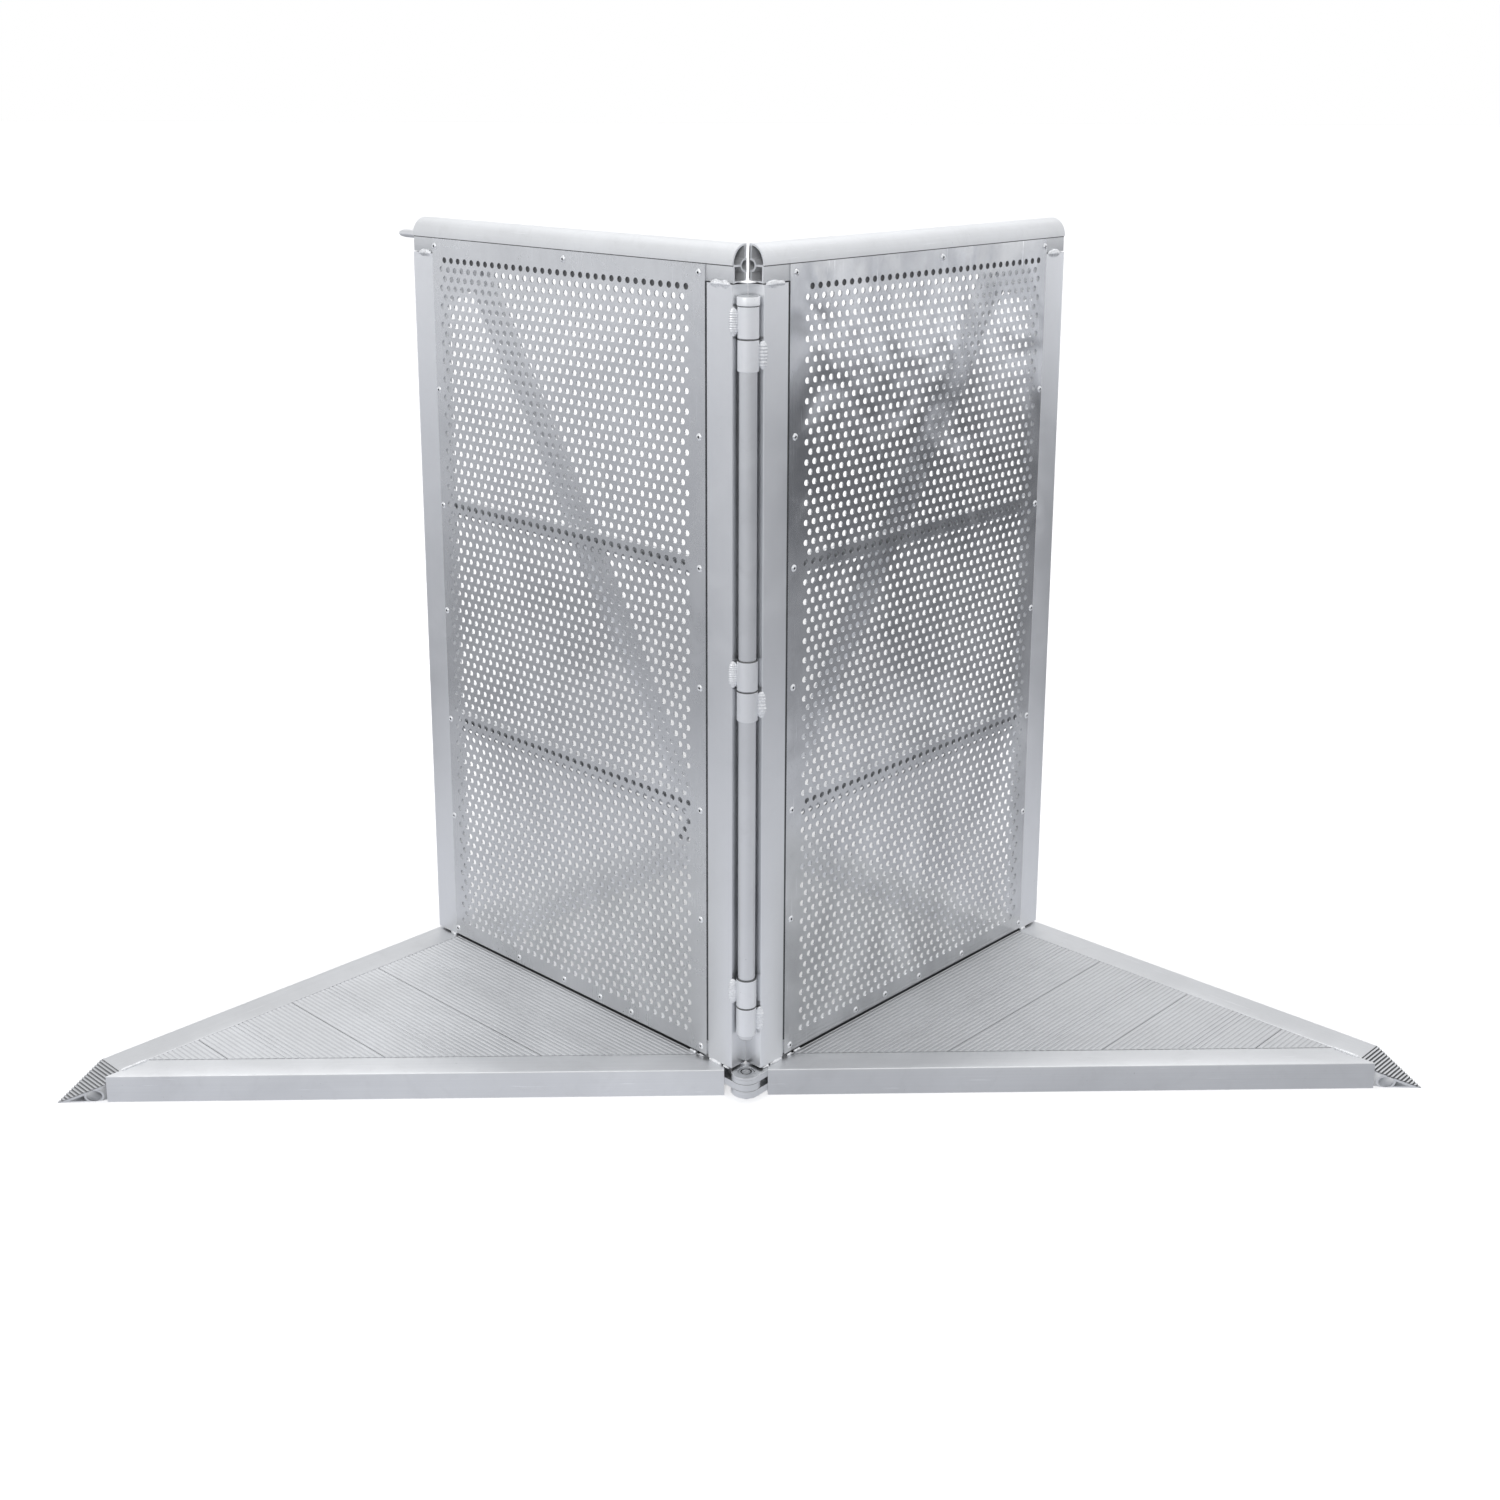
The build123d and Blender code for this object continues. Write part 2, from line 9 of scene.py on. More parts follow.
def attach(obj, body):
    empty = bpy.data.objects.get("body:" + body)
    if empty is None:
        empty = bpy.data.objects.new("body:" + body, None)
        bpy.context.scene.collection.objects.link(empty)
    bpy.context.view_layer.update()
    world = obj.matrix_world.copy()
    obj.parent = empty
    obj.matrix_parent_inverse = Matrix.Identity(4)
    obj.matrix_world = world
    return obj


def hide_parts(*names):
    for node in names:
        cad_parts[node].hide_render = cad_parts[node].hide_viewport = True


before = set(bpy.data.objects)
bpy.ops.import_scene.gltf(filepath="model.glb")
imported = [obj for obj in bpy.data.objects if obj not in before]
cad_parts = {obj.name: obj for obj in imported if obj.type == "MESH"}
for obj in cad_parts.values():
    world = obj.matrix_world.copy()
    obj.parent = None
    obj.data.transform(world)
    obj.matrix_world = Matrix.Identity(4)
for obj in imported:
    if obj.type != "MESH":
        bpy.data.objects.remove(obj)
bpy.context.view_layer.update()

# Finish of the aluminium corner barrier: punched sheets, drawn tubes, ribbed treads, welds, rivets
# and the drop-in hinge rod. Lengths are in millimetres and turned into metres by MM.
# Leaf frame: u along the panel from the hinge, v from its front face to the rear, z up.
MM = 0.001
SIDES = ("left", "right")
TURN = math.radians(45)
HINGE_CORNER = (20.6, 2.5)
LEAF_WIDTH = 672.0
CENTRE_GAP = 2.0
CORNER_RADIUS = 1.6
BORE_CORNER = 0.5
TUBE_WALL = 3.0
SLIM_WALL = 2.0

STILE_WIDTH = 47.0
STILE_DEPTH = 29.0
STILE_BOTTOM = 43.0
STILE_SEAM = 1.3
RAIL_BOTTOM = 1150.0
RAIL_LIP = 1173.0
RAIL_TOP = 1200.0
RAIL_DEPTH = 48.0
RAIL_RECESS = 2.0
RAIL_WALL = 2.5
RAIL_WEB = 1.3
RAIL_BOSS = 9.0
LIP_CREASE = 1.6
CHANNEL_LEVEL = 1172.0
CHANNEL_RADIUS = 6.3
EDGE_RAIL_DEPTH = 25.0
EDGE_RAIL_HEIGHT = 19.0
CROSS_RAILS = {"upper": 761.0, "lower": 413.0}
CROSS_RAIL_SIZE = 20.0
FLANGE = 28.0
FLANGE_THICKNESS = 3.0

SHEET_START = 49.5
SHEET_END = LEAF_WIDTH - STILE_WIDTH
SHEET_BOTTOM = 45.0
SHEET_THICKNESS = 2.0
SHEET_TOP = RAIL_LIP - 1.2
HOLE_RADIUS = 4.5
HOLE_PITCH = 16.0
ROW_PITCH = HOLE_PITCH * math.sqrt(3) / 2
HOLES_IN_ROW = 33
HOLE_ROWS = 78
FIRST_ROW = 1140.5
ROW_MIDDLES = (340.5, 348.5)
HOLE_FACETS = 12

PLATE_HEIGHT = 40.0
PLATE_FRONT = 3.0
FRONT_TUBE_WIDTH = 46.0
FRONT_TUBE_START = 31.0
PANEL_TUBE_WIDTH = 46.0
SIDE_TUBE_WIDTH = 50.0
SIDE_TUBE_INNER = LEAF_WIDTH - SIDE_TUBE_WIDTH
SIDE_TUBE_REAR = 640.0
RIDGE_V = -600.0
PLANK_PITCH = 158.5
PLANK_GAP = 0.5
PLANK_JOINT = 0.5
PLANKS = 4
RIBS = 22
RIB_HEIGHT = 1.5
DECK_SKIN = 3.0
LEG_LENGTH = 22.0
LEG_THICKNESS = 3.0
WIDE_GROOVES = (8, 9, 10, 11)
TREAD_CLEARANCE = 1.0

NOSE_LENGTH = 71.0
NOSE_SKIN = 2.5
NOSE_HEEL = 5.5
NOSE_RING = (-634.0, 10.0)
NOSE_RING_RADIUS = 10.0
NOSE_BORE_RADIUS = 8.0
NOSE_RIBS = 17

KNUCKLE_LEVELS = (1080.0, 606.0, 142.0)
KNUCKLE_LENGTH = 42.5
KNUCKLE_GAP = 0.2
KNUCKLE_RADIUS = 14.2
KNUCKLE_BORE = 12.05
ROD_RADIUS = 12.0
ROD_BOTTOM = 91.0
COLLAR_BOTTOM = 1122.8
COLLAR_HEIGHT = 12.0
COLLAR_RADIUS = 15.2

LUG_BASE = 8.4
LUG_PITCH = 10.6
LUG_THICKNESS = 10.2
LUG_RADIUS = 21.0
LUG_BORE = 8.05
TOP_LUG = 2
BOLT_SEAT = 36.2
BOLT_HEAD_HEIGHT = 3.0
COUNTERBORE_RADIUS = 11.8

BRACE_U = LEAF_WIDTH - STILE_WIDTH / 2
BRACE_TOP = (105.0, 1118.0)
BRACE_FOOT = (578.0, 66.0)
BRACE_SIZE = 30.0
BRACE_OVERHANG = 17.0

PIN_RADIUS = 6.0
PIN_SEAT = 60.0
PIN_LENGTH = 45.0
PIN_NOSE = 20.0

generator = random.Random(7)


# ---- Places ----
def leaf_point(side, u, v, z):
    """World point, in metres, of a place in one leaf's own frame."""
    x = HINGE_CORNER[0] + (u - v) * math.cos(TURN)
    y = HINGE_CORNER[1] + (u + v) * math.sin(TURN)
    if side == "left":
        x = -x
    return Vector((x, y, z)) * MM


def side_point(side, x, y, z):
    """World point, in metres, of a place given for the right side."""
    return Vector((-x if side == "left" else x, y, z)) * MM


def axis_point(x, y, z):
    """World point, in metres, of a place given from the hinge axis."""
    return Vector((x, y, z)) * MM


def along_panel(side):
    """Placing function for a (v, z) section that is drawn out along u."""
    return lambda u, p: leaf_point(side, u, p[0], p[1])


def past_centre(v):
    """Smallest u that keeps a part clear of the mirror plane."""
    return v + (CENTRE_GAP - HINGE_CORNER[0]) / math.cos(TURN)


def behind_front_line(v, y):
    """Smallest u that lies behind the line y, in the leaf frame."""
    return (y - HINGE_CORNER[1]) / math.sin(TURN) - v


# ---- Mesh helpers ----
def add_object(name, data):
    """New object in the scene."""
    made = bpy.data.objects.new(name, data)
    bpy.context.scene.collection.objects.link(made)
    return made


def new_piece(name, bm, material, body, nodes, sharp=35):
    """Turn a bmesh into a finished object that rides on a body and stands for its CAD nodes."""
    bmesh.ops.recalc_face_normals(bm, faces=bm.faces)
    mesh = bpy.data.meshes.new(name)
    bm.to_mesh(mesh)
    bm.free()
    mesh.polygons.foreach_set("use_smooth", [True] * len(mesh.polygons))
    mesh.set_sharp_from_angle(angle=math.radians(sharp))
    mesh.materials.append(material)
    piece = add_object(name, mesh)
    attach(piece, body)
    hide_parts(*nodes)
    return piece


def leaf_piece(side, name, bm, material, node, sharp=35):
    """Finished piece of one leaf that stands for one of its CAD nodes."""
    return new_piece(f"{side}_{name}", bm, material, f"{side}_leaf", [f"{side}_{node}"], sharp)


def add_bevel(piece, width):
    """Round the hard edges of a finished piece."""
    bevel = piece.modifiers.new("edges", "BEVEL")
    bevel.width = width * MM
    bevel.segments = 2
    bevel.limit_method = "ANGLE"
    bevel.angle_limit = math.radians(40)
    bevel.use_clamp_overlap = True
    bevel.harden_normals = True


def second_material(bm, first):
    """Put the faces from the given number on in the piece's second material."""
    bm.faces.ensure_lookup_table()
    for face in bm.faces[first:]:
        face.material_index = 1


def shade_faces(piece, material, chosen):
    """Give a further material to the faces that chosen(centre, normal) picks."""
    index = len(piece.data.materials)
    piece.data.materials.append(material)
    for polygon in piece.data.polygons:
        if chosen(polygon.center, polygon.normal):
            polygon.material_index = index


def inside(point, loop):
    """Even-odd test of a point against a closed loop."""
    x, y = point
    crossings = False
    for (x0, y0), (x1, y1) in zip(loop, loop[1:] + loop[:1]):
        if (y0 > y) != (y1 > y) and x < x0 + (y - y0) * (x1 - x0) / (y1 - y0):
            crossings = not crossings
    return crossings


def fill(outer, holes):
    """Triangles, as indexes into outer + holes, that fill the outline but not its holes."""
    points = []
    edges = []
    for loop in [outer] + holes:
        start = len(points)
        points.extend(loop)
        edges.extend((start + i, start + (i + 1) % len(loop)) for i in range(len(loop)))
    result = geometry.delaunay_2d_cdt([Vector(p) for p in points], edges, [], 0, 1e-5)
    originals = [ids[0] if ids else None for ids in result[3]]
    triangles = []
    for face in result[2]:
        middle = sum((result[0][i] for i in face), Vector((0, 0))) / len(face)
        if inside(middle, outer) and not any(inside(middle, hole) for hole in holes):
            triangles.append([originals[i] for i in face])
    return triangles


def extrude_section(bm, outer, holes, start, end, place):
    """Extrude a section between two cuts; start and end give the length at each section point."""
    rings = []
    near = []
    far = []
    for loop in [outer] + holes:
        near_ring = [bm.verts.new(place(start(p), p)) for p in loop]
        far_ring = [bm.verts.new(place(end(p), p)) for p in loop]
        rings.append((near_ring, far_ring))
        near.extend(near_ring)
        far.extend(far_ring)
    for near_ring, far_ring in rings:
        count = len(near_ring)
        for i in range(count):
            j = (i + 1) % count
            bm.faces.new((near_ring[i], near_ring[j], far_ring[j], far_ring[i]))
    for triangle in fill(outer, holes):
        bm.faces.new([near[i] for i in triangle])
        bm.faces.new([far[i] for i in reversed(triangle)])


def rounded_rectangle(a0, a1, b0, b1, radius, facets=3, far_radius=None):
    """Closed outline of a rectangle with rounded corners; far_radius is for the corners at b1."""
    far = radius if far_radius is None else far_radius
    corners = ((a1 - far, b1 - far, 0, far), (a0 + far, b1 - far, 90, far),
               (a0 + radius, b0 + radius, 180, radius), (a1 - radius, b0 + radius, 270, radius))
    outline = []
    for a, b, first, bend in corners:
        for step in range(facets + 1):
            angle = math.radians(first + 90 * step / facets)
            outline.append((a + bend * math.cos(angle), b + bend * math.sin(angle)))
    return outline


def circle(a, b, radius, facets=24):
    """Closed outline of a circle."""
    angles = [2 * math.pi * i / facets for i in range(facets)]
    return [(a + radius * math.cos(t), b + radius * math.sin(t)) for t in angles]


def tube_section(a0, a1, b0, b1, wall, far_radius=None):
    """Outer outline and bore of a rectangular tube."""
    outer = rounded_rectangle(a0, a1, b0, b1, CORNER_RADIUS, 3, far_radius)
    bore = rounded_rectangle(a0 + wall, a1 - wall, b0 + wall, b1 - wall, BORE_CORNER, 1)
    return outer, [bore]


def straight_tube(side, node, material, section, start, end, place):
    """Rectangular tube between two cuts; section is its outer outline and its bore."""
    bm = bmesh.new()
    extrude_section(bm, *section, start, end, place)
    return leaf_piece(side, f"{node}_finished", bm, material, node)


def lathe(bm, profile, place, facets):
    """Revolve (radius, height) points; a point on the axis becomes a pole."""
    rings = []
    for radius, height in profile:
        outline = circle(0, 0, radius, facets) if radius > 0 else [(0, 0)]
        rings.append([bm.verts.new(place(a, b, height)) for a, b in outline])
    for lower, upper in zip(rings, rings[1:]):
        for i in range(facets):
            j = (i + 1) % facets
            corners = (lower[i % len(lower)], lower[j % len(lower)],
                       upper[j % len(upper)], upper[i % len(upper)])
            distinct = list(dict.fromkeys(corners))
            if len(distinct) > 2:
                bm.faces.new(distinct)


def ring_profile(bore, radius, z0, z1, edge=1.1):
    """Closed profile of a tube length with turned chamfers."""
    lower = [(bore, z0 + edge), (bore + edge, z0), (radius - edge, z0), (radius, z0 + edge)]
    upper = [(radius, z1 - edge), (radius - edge, z1), (bore + edge, z1), (bore, z1 - edge)]
    return lower + upper + lower[:1]


def weld_bead(bm, points, width, height, normal, ripple=3.0, roughness=0.12, facets=10):
    """Rippled weld bead along a path, in metres, lying on a surface with the given normal."""
    path = [Vector(p) for p in points]
    lengths = [(b - a).length for a, b in zip(path, path[1:])]
    total = sum(lengths)
    count = max(8, int(total / (0.5 * MM)))
    phase = generator.random() * 6
    rings = []
    for step in range(count + 1):
        travelled = total * step / count
        rest = travelled
        index = 0
        while index < len(lengths) - 1 and rest > lengths[index]:
            rest -= lengths[index]
            index += 1
        along = (path[index + 1] - path[index]).normalized()
        centre = path[index] + along * rest
        side = along.cross(normal).normalized()
        lift = side.cross(along).normalized()
        from_end = min(travelled, total - travelled) / (width * MM)
        taper = math.sqrt(max(0.0, 1 - (1 - min(1, from_end)) ** 2))
        coin = abs(math.cos(math.pi * travelled / (ripple * MM)))
        lumps = noise.noise(centre * 110 + Vector((phase, phase, phase)))
        swell = max(0.05, taper) * (0.86 + 0.14 * coin + roughness * lumps)
        ring = []
        for i in range(facets):
            angle = 2 * math.pi * i / facets
            across = side * math.cos(angle) * width * 0.5 * swell
            up = lift * math.sin(angle) * height * swell
            ring.append(bm.verts.new(centre + (across + up) * MM))
        rings.append(ring)
    for lower, upper in zip(rings, rings[1:]):
        for i in range(facets):
            j = (i + 1) % facets
            bm.faces.new((lower[i], lower[j], upper[j], upper[i]))
    bm.faces.new(rings[0])
    bm.faces.new(rings[-1])


# ---- Materials ----
class Graph:
    """Short-hand for building the nodes of one material or world."""

    def __init__(self, owner):
        owner.use_nodes = True
        self.owner = owner
        self.tree = owner.node_tree

    def feed(self, node, inputs):
        """Set or link the inputs of a node, given by name or number."""
        for key, value in inputs.items():
            if isinstance(value, bpy.types.NodeSocket):
                self.tree.links.new(value, node.inputs[key])
            else:
                node.inputs[key].default_value = value

    def node(self, kind, inputs, output, **settings):
        """Add a node, feed it, and hand back one of its outputs."""
        made = self.tree.nodes.new(kind)
        for key, value in settings.items():
            setattr(made, key, value)
        self.feed(made, inputs)
        return made.outputs[output]

    def mapped(self, turn, scale, tilt=(0, 0, 0)):
        """Object coordinates turned into the leaf's axes, then tilted and scaled."""
        place = self.node("ShaderNodeTexCoord", {}, "Object")
        turned = self.node("ShaderNodeMapping", {"Rotation": (0, 0, turn), "Vector": place}, "Vector")
        inputs = {"Rotation": tilt, "Scale": scale, "Vector": turned}
        return self.node("ShaderNodeMapping", inputs, "Vector")

    def noise(self, vector, scale, detail=3.0, distortion=0.0, roughness=0.5):
        inputs = {"Scale": scale, "Detail": detail, "Roughness": roughness, "Distortion": distortion,
                  "Vector": vector}
        return self.node("ShaderNodeTexNoise", inputs, "Fac")

    def span(self, value, low, high, new_low=0.0, new_high=1.0):
        """Map a value from one range to another, clamped."""
        inputs = {"From Min": low, "From Max": high, "To Min": new_low, "To Max": new_high, "Value": value}
        return self.node("ShaderNodeMapRange", inputs, "Result")

    def math(self, operation, a, b):
        return self.node("ShaderNodeMath", {0: a, 1: b}, "Value", operation=operation)

    def mix_colour(self, factor, a, b):
        return self.node("ShaderNodeMix", {"Factor": factor, "A": a, "B": b}, "Result", data_type="RGBA")

    def bump(self, height, distance, strength, under=None):
        inputs = {"Strength": strength, "Distance": distance, "Height": height}
        if under is not None:
            inputs["Normal"] = under
        return self.node("ShaderNodeBump", inputs, "Normal")


def new_material(name):
    """Graph of a new material."""
    return Graph(bpy.data.materials.new(name))


LEAF_TURNS = {"right": -TURN, "left": -3 * TURN, None: 0.0}
GRAIN_SCALES = {"u": (2.0, 420.0, 420.0), "v": (420.0, 2.0, 420.0), "z": (420.0, 420.0, 2.0),
                "round": (260.0, 260.0, 260.0)}
SCRATCH_SCALES = {"u": (14.0, 500.0, 500.0), "v": (500.0, 14.0, 500.0), "z": (500.0, 500.0, 14.0),
                  "round": (30.0, 30.0, 600.0)}


def tinted(level, cool=0.03):
    """Slightly bluish grey of the given level."""
    return (level * (1 - cool), level * (1 - 0.6 * cool), level, 1)


def aluminium(name, side, grain, level, roughness, variation=0.05, grain_depth=0.05, scratches=0.5,
              waviness=0.0, painted_reflection=0.0, dirt=0.12, metallic=1.0):
    """Aluminium with drawing grain, tonal patches, handling marks, scratches and soft waviness, and, when
    asked for, dark streaky clouds in the base colour that paint in reflections.
    """
    graph = new_material(name)
    turn = LEAF_TURNS[side]
    plain = graph.mapped(turn, (1, 1, 1))
    patches = graph.noise(plain, 5.0, 4.0, 0.6, 0.55)
    mottling = graph.noise(plain, 38.0, 5.0, 0.8, 0.6)
    lines = graph.noise(graph.mapped(turn, GRAIN_SCALES[grain]), 1.0, 3.0, 0.0, 0.6)
    fine = graph.noise(graph.mapped(turn, SCRATCH_SCALES[grain], (0.1, 0.22, 0.16)), 1.0, 2.0)
    crossing = graph.noise(graph.mapped(turn, SCRATCH_SCALES[grain], (0.7, -0.5, -0.6)), 0.8, 2.0)
    scratch = graph.math("MAXIMUM", graph.span(fine, 0.70, 0.74), graph.span(crossing, 0.73, 0.76))
    specks = graph.span(graph.noise(plain, 210.0, 2.0), 0.76, 0.80)

    light = tinted(level * (1 + variation))
    dark = tinted(level * (1 - variation))
    grained = graph.span(lines, 0.3, 0.8, 0.0, min(0.22, 5 * grain_depth))
    handled = graph.span(mottling, 0.52, 0.75, 0.0, dirt)
    scratched = graph.math("MULTIPLY", scratch, 0.45 * scratches)
    specked = graph.math("MULTIPLY", specks, 3 * dirt)
    base = graph.mix_colour(graph.span(patches, 0.35, 0.65), dark, light)
    base = graph.mix_colour(grained, base, tinted(level * 0.86))
    base = graph.mix_colour(handled, base, tinted(level * 0.62, 0.0))
    base = graph.mix_colour(scratched, base, tinted(min(1.0, level * 1.35)))
    base = graph.mix_colour(specked, base, tinted(level * 0.35, 0.0))
    # Dark streaky clouds in the base colour: painted reflections of the surroundings.
    if painted_reflection > 0:
        reflection_streaks = graph.noise(graph.mapped(turn, (3.2, 3.2, 2.0), (0.0, 0.5, 0.0)), 1.0, 5.0, 1.6, 0.62)
        painted_reflection_mask = graph.span(reflection_streaks, 0.42, 0.68, 0.0, painted_reflection)
        base = graph.mix_colour(painted_reflection_mask, base, tinted(level * 0.42, 0.06))

    smudges = graph.noise(plain, 17.0, 4.0, 1.2, 0.6)
    rough = graph.span(patches, 0.3, 0.7, roughness * 0.85, roughness * 1.15)
    rough = graph.math("ADD", rough, graph.span(smudges, 0.5, 0.72, 0.0, 0.07))
    rough = graph.math("ADD", rough, graph.span(lines, 0.35, 0.75, -0.6 * grain_depth, grain_depth))
    rough = graph.math("SUBTRACT", rough, graph.math("MULTIPLY", scratch, 0.08 * scratches))

    normal = graph.bump(lines, 0.00004, grain_depth * 10)
    normal = graph.bump(scratch, 0.00005, 0.35 * scratches, normal)
    if waviness > 0:
        waves = graph.noise(graph.mapped(turn, (7.0, 7.0, 5.0)), 1.0, 2.0, 0.4)
        normal = graph.bump(waves, 0.02 * waviness, 1.0, normal)
    surface = {"Base Color": base, "Metallic": metallic, "Roughness": rough, "Normal": normal}
    graph.feed(graph.tree.nodes["Principled BSDF"], surface)
    return graph.owner


def weld_metal(name, level):
    """Bright, slightly sooty weld metal."""
    graph = new_material(name)
    plain = graph.mapped(0.0, (1, 1, 1))
    lumps = graph.noise(plain, 420.0, 4.0, 0.5)
    soot = graph.noise(plain, 60.0, 3.0, 0.8)
    base = graph.mix_colour(graph.span(lumps, 0.35, 0.7), tinted(level), tinted(level * 0.8))
    base = graph.mix_colour(graph.span(soot, 0.58, 0.75, 0.0, 0.5), base, tinted(level * 0.4, 0.0))
    surface = {"Base Color": base, "Metallic": 1.0, "Roughness": graph.span(lumps, 0.3, 0.7, 0.28, 0.46),
               "Normal": graph.bump(lumps, 0.0004, 0.6)}
    graph.feed(graph.tree.nodes["Principled BSDF"], surface)
    return graph.owner


# Share of the tread level kept in the rib grooves: painted shade in the grooves.
TREAD_GROOVE_SHADE_SHARE = 0.85
# Finishes of both leaves: direction of the grain, reflectance left and right, roughness and the rest. Some
# rows are darker copies that paint shade, and one is a lighter copy that paints light.
# The front tubes run along the world's own x, so their grain isn't turned with the leaf.
FINISHES = {
    "rail": ("u", (0.71, 0.73), 0.62, {"grain_depth": 0.02, "metallic": 0.92}),
    "stile": ("z", (0.80, 0.86), 0.34,
              {"variation": 0.02, "grain_depth": 0.008, "scratches": 0.12, "dirt": 0.05}),
    # Dark grey that paints shade into gaps, creases and hollows, and onto faces turned down or away from
    # the light.
    "shaded_seam": ("z", (0.16, 0.16), 0.5, {}),
    "slim_tube": ("u", (0.75, 0.75), 0.4, {}),
    "tread": ("u", (0.81, 0.70), 0.55, {}),
    # Darker copy of the tread finish for its rib grooves: painted shade in the grooves.
    "painted_shade_tread_groove": ("u", (TREAD_GROOVE_SHADE_SHARE * 0.81, TREAD_GROOVE_SHADE_SHARE * 0.70), 0.55, {}),
    "side_tube": ("v", (0.72, 0.72), 0.38, {"scratches": 0.8}),
    "nose": ("u", (0.68, 0.80), 0.36, {}),
    "brace": ("z", (0.74, 0.74), 0.38, {}),
    # Dark copy for the nose's grip grooves: painted shade in the grooves.
    "shaded_groove": ("u", (0.36, 0.18), 0.5, {}),
    "front_tube": ("u", (0.74, 0.66), 0.34, {"scratches": 0.8}),
    # Lighter copy of the front tube finish for its top faces: painted light where the light falls from
    # above.
    "front_tube_lit_top": ("u", (0.83, 0.77), 0.38, {"scratches": 0.8}),
}
materials = {}
for number, side in enumerate(SIDES):
    for name, (grain, levels, roughness, finish) in FINISHES.items():
        turned = None if name.startswith("front_tube") else side
        materials[side, name] = aluminium(f"{name}_{side}", turned, grain, levels[number], roughness,
                                          **finish)
# The sheets' dark clouds are painted reflections, strongest on the mirror-like right sheet.
materials["left", "sheet"] = aluminium("sheet_left", "left", "z", 0.68, 0.26, variation=0.06,
                                       grain_depth=0.02, waviness=0.08, painted_reflection=0.12, dirt=0.10)
materials["right", "sheet"] = aluminium("sheet_right", "right", "z", 0.70, 0.15, variation=0.08,
                                        grain_depth=0.02, scratches=1.6, waviness=0.35, painted_reflection=0.36,
                                        dirt=0.20)
clean = {"variation": 0.03, "grain_depth": 0.02, "scratches": 0.3}
worn = {"variation": 0.04, "grain_depth": 0.03, "scratches": 0.6}
cut_metal = aluminium("sawn_ends", None, "round", 0.98, 0.6, 0.02, 0.02, 0.3)
hinge_metal = aluminium("hinge_metal", None, "z", 0.76, 0.34, **clean)
lug_metal = aluminium("lug_metal", None, "round", 0.72, 0.38, **worn)
knuckle_metal = aluminium("knuckle_metal", None, "z", 0.90, 0.42, 0.03, 0.02, 0.4)
rivet_metal = aluminium("rivet_metal", None, "round", 0.9, 0.26, **clean)
steel = aluminium("fastener_steel", None, "round", 0.6, 0.32, **worn)
weld = weld_metal("weld_metal", 0.95)


# ---- Punched sheets ----
def hole_centres(side):
    """(u, z) of every punched hole of one leaf."""
    centres = []
    for row in range(HOLE_ROWS):
        shifted = (row % 2 == 0) == (side == "right")
        middle = ROW_MIDDLES[1] if shifted else ROW_MIDDLES[0]
        for column in range(HOLES_IN_ROW):
            u = middle + (column - (HOLES_IN_ROW - 1) / 2) * HOLE_PITCH
            centres.append((u, FIRST_ROW - row * ROW_PITCH))
    return centres


def hexagon_point(u, z, angle):
    """Point of the hexagonal cell around a hole, in the direction of the angle."""
    local = (angle + math.radians(30)) % math.radians(60) - math.radians(30)
    reach = HOLE_PITCH / 2 / math.cos(local)
    return (u + reach * math.cos(angle), z + reach * math.sin(angle))


def punched_sheet(side):
    """Sheet of hexagonal cells, each with a round hole, and a plain margin around them."""
    bm = bmesh.new()
    shared = {}

    def corner(u, z, v):
        key = (round(u, 2), round(z, 2), v)
        if key not in shared:
            shared[key] = bm.verts.new(leaf_point(side, u, v, z))
        return shared[key]

    outside = {}
    for u, z in hole_centres(side):
        angles = [2 * math.pi * i / HOLE_FACETS for i in range(HOLE_FACETS)]
        cell = [hexagon_point(u, z, t) for t in angles]
        rim = [(u + HOLE_RADIUS * math.cos(t), z + HOLE_RADIUS * math.sin(t)) for t in angles]
        rims = {v: [bm.verts.new(leaf_point(side, a, v, b)) for a, b in rim] for v in (0, SHEET_THICKNESS)}
        for i in range(HOLE_FACETS):
            j = (i + 1) % HOLE_FACETS
            for v in (0, SHEET_THICKNESS):
                bm.faces.new((corner(*cell[i], v), corner(*cell[j], v), rims[v][j], rims[v][i]))
            bm.faces.new((rims[0][i], rims[0][j], rims[SHEET_THICKNESS][j], rims[SHEET_THICKNESS][i]))
            first = tuple(round(c, 2) for c in cell[i])
            second = tuple(round(c, 2) for c in cell[j])
            if (second, first) in outside:
                del outside[second, first]
            else:
                outside[first, second] = True
    following = {first: second for first, second in outside}
    start = next(iter(following))
    ragged = [start]
    while following[ragged[-1]] != start:
        ragged.append(following[ragged[-1]])
    border = [(SHEET_START, SHEET_BOTTOM), (SHEET_END, SHEET_BOTTOM),
              (SHEET_END, SHEET_TOP), (SHEET_START, SHEET_TOP)]
    points = border + ragged
    for triangle in fill(border, [ragged]):
        for v in (0, SHEET_THICKNESS):
            bm.faces.new([corner(*points[i], v) for i in triangle])
    for (u0, z0), (u1, z1) in zip(border, border[1:] + border[:1]):
        bm.faces.new((corner(u0, z0, 0), corner(u1, z1, 0),
                      corner(u1, z1, SHEET_THICKNESS), corner(u0, z0, SHEET_THICKNESS)))
    leaf_piece(side, "punched_sheet", bm, materials[side, "sheet"], "perforated_sheet")


def rivet_places(side):
    """(u, z) of every rivet: a top row, two edge columns and a bottom row."""
    near = 61.0
    far = LEAF_WIDTH - 52.0
    middle = {"left": 328.0, "right": 370.0}[side]
    places = [(u, 1160.0) for u in (near, middle, far)]
    places += [(u, z) for u in (near, far) for z in (251.0, 415.0, 594.0, 763.0, 943.0)]
    places += [(u, 55.0) for u in (near, 207.0, 276.0, 358.0, 466.0, far)]
    return places


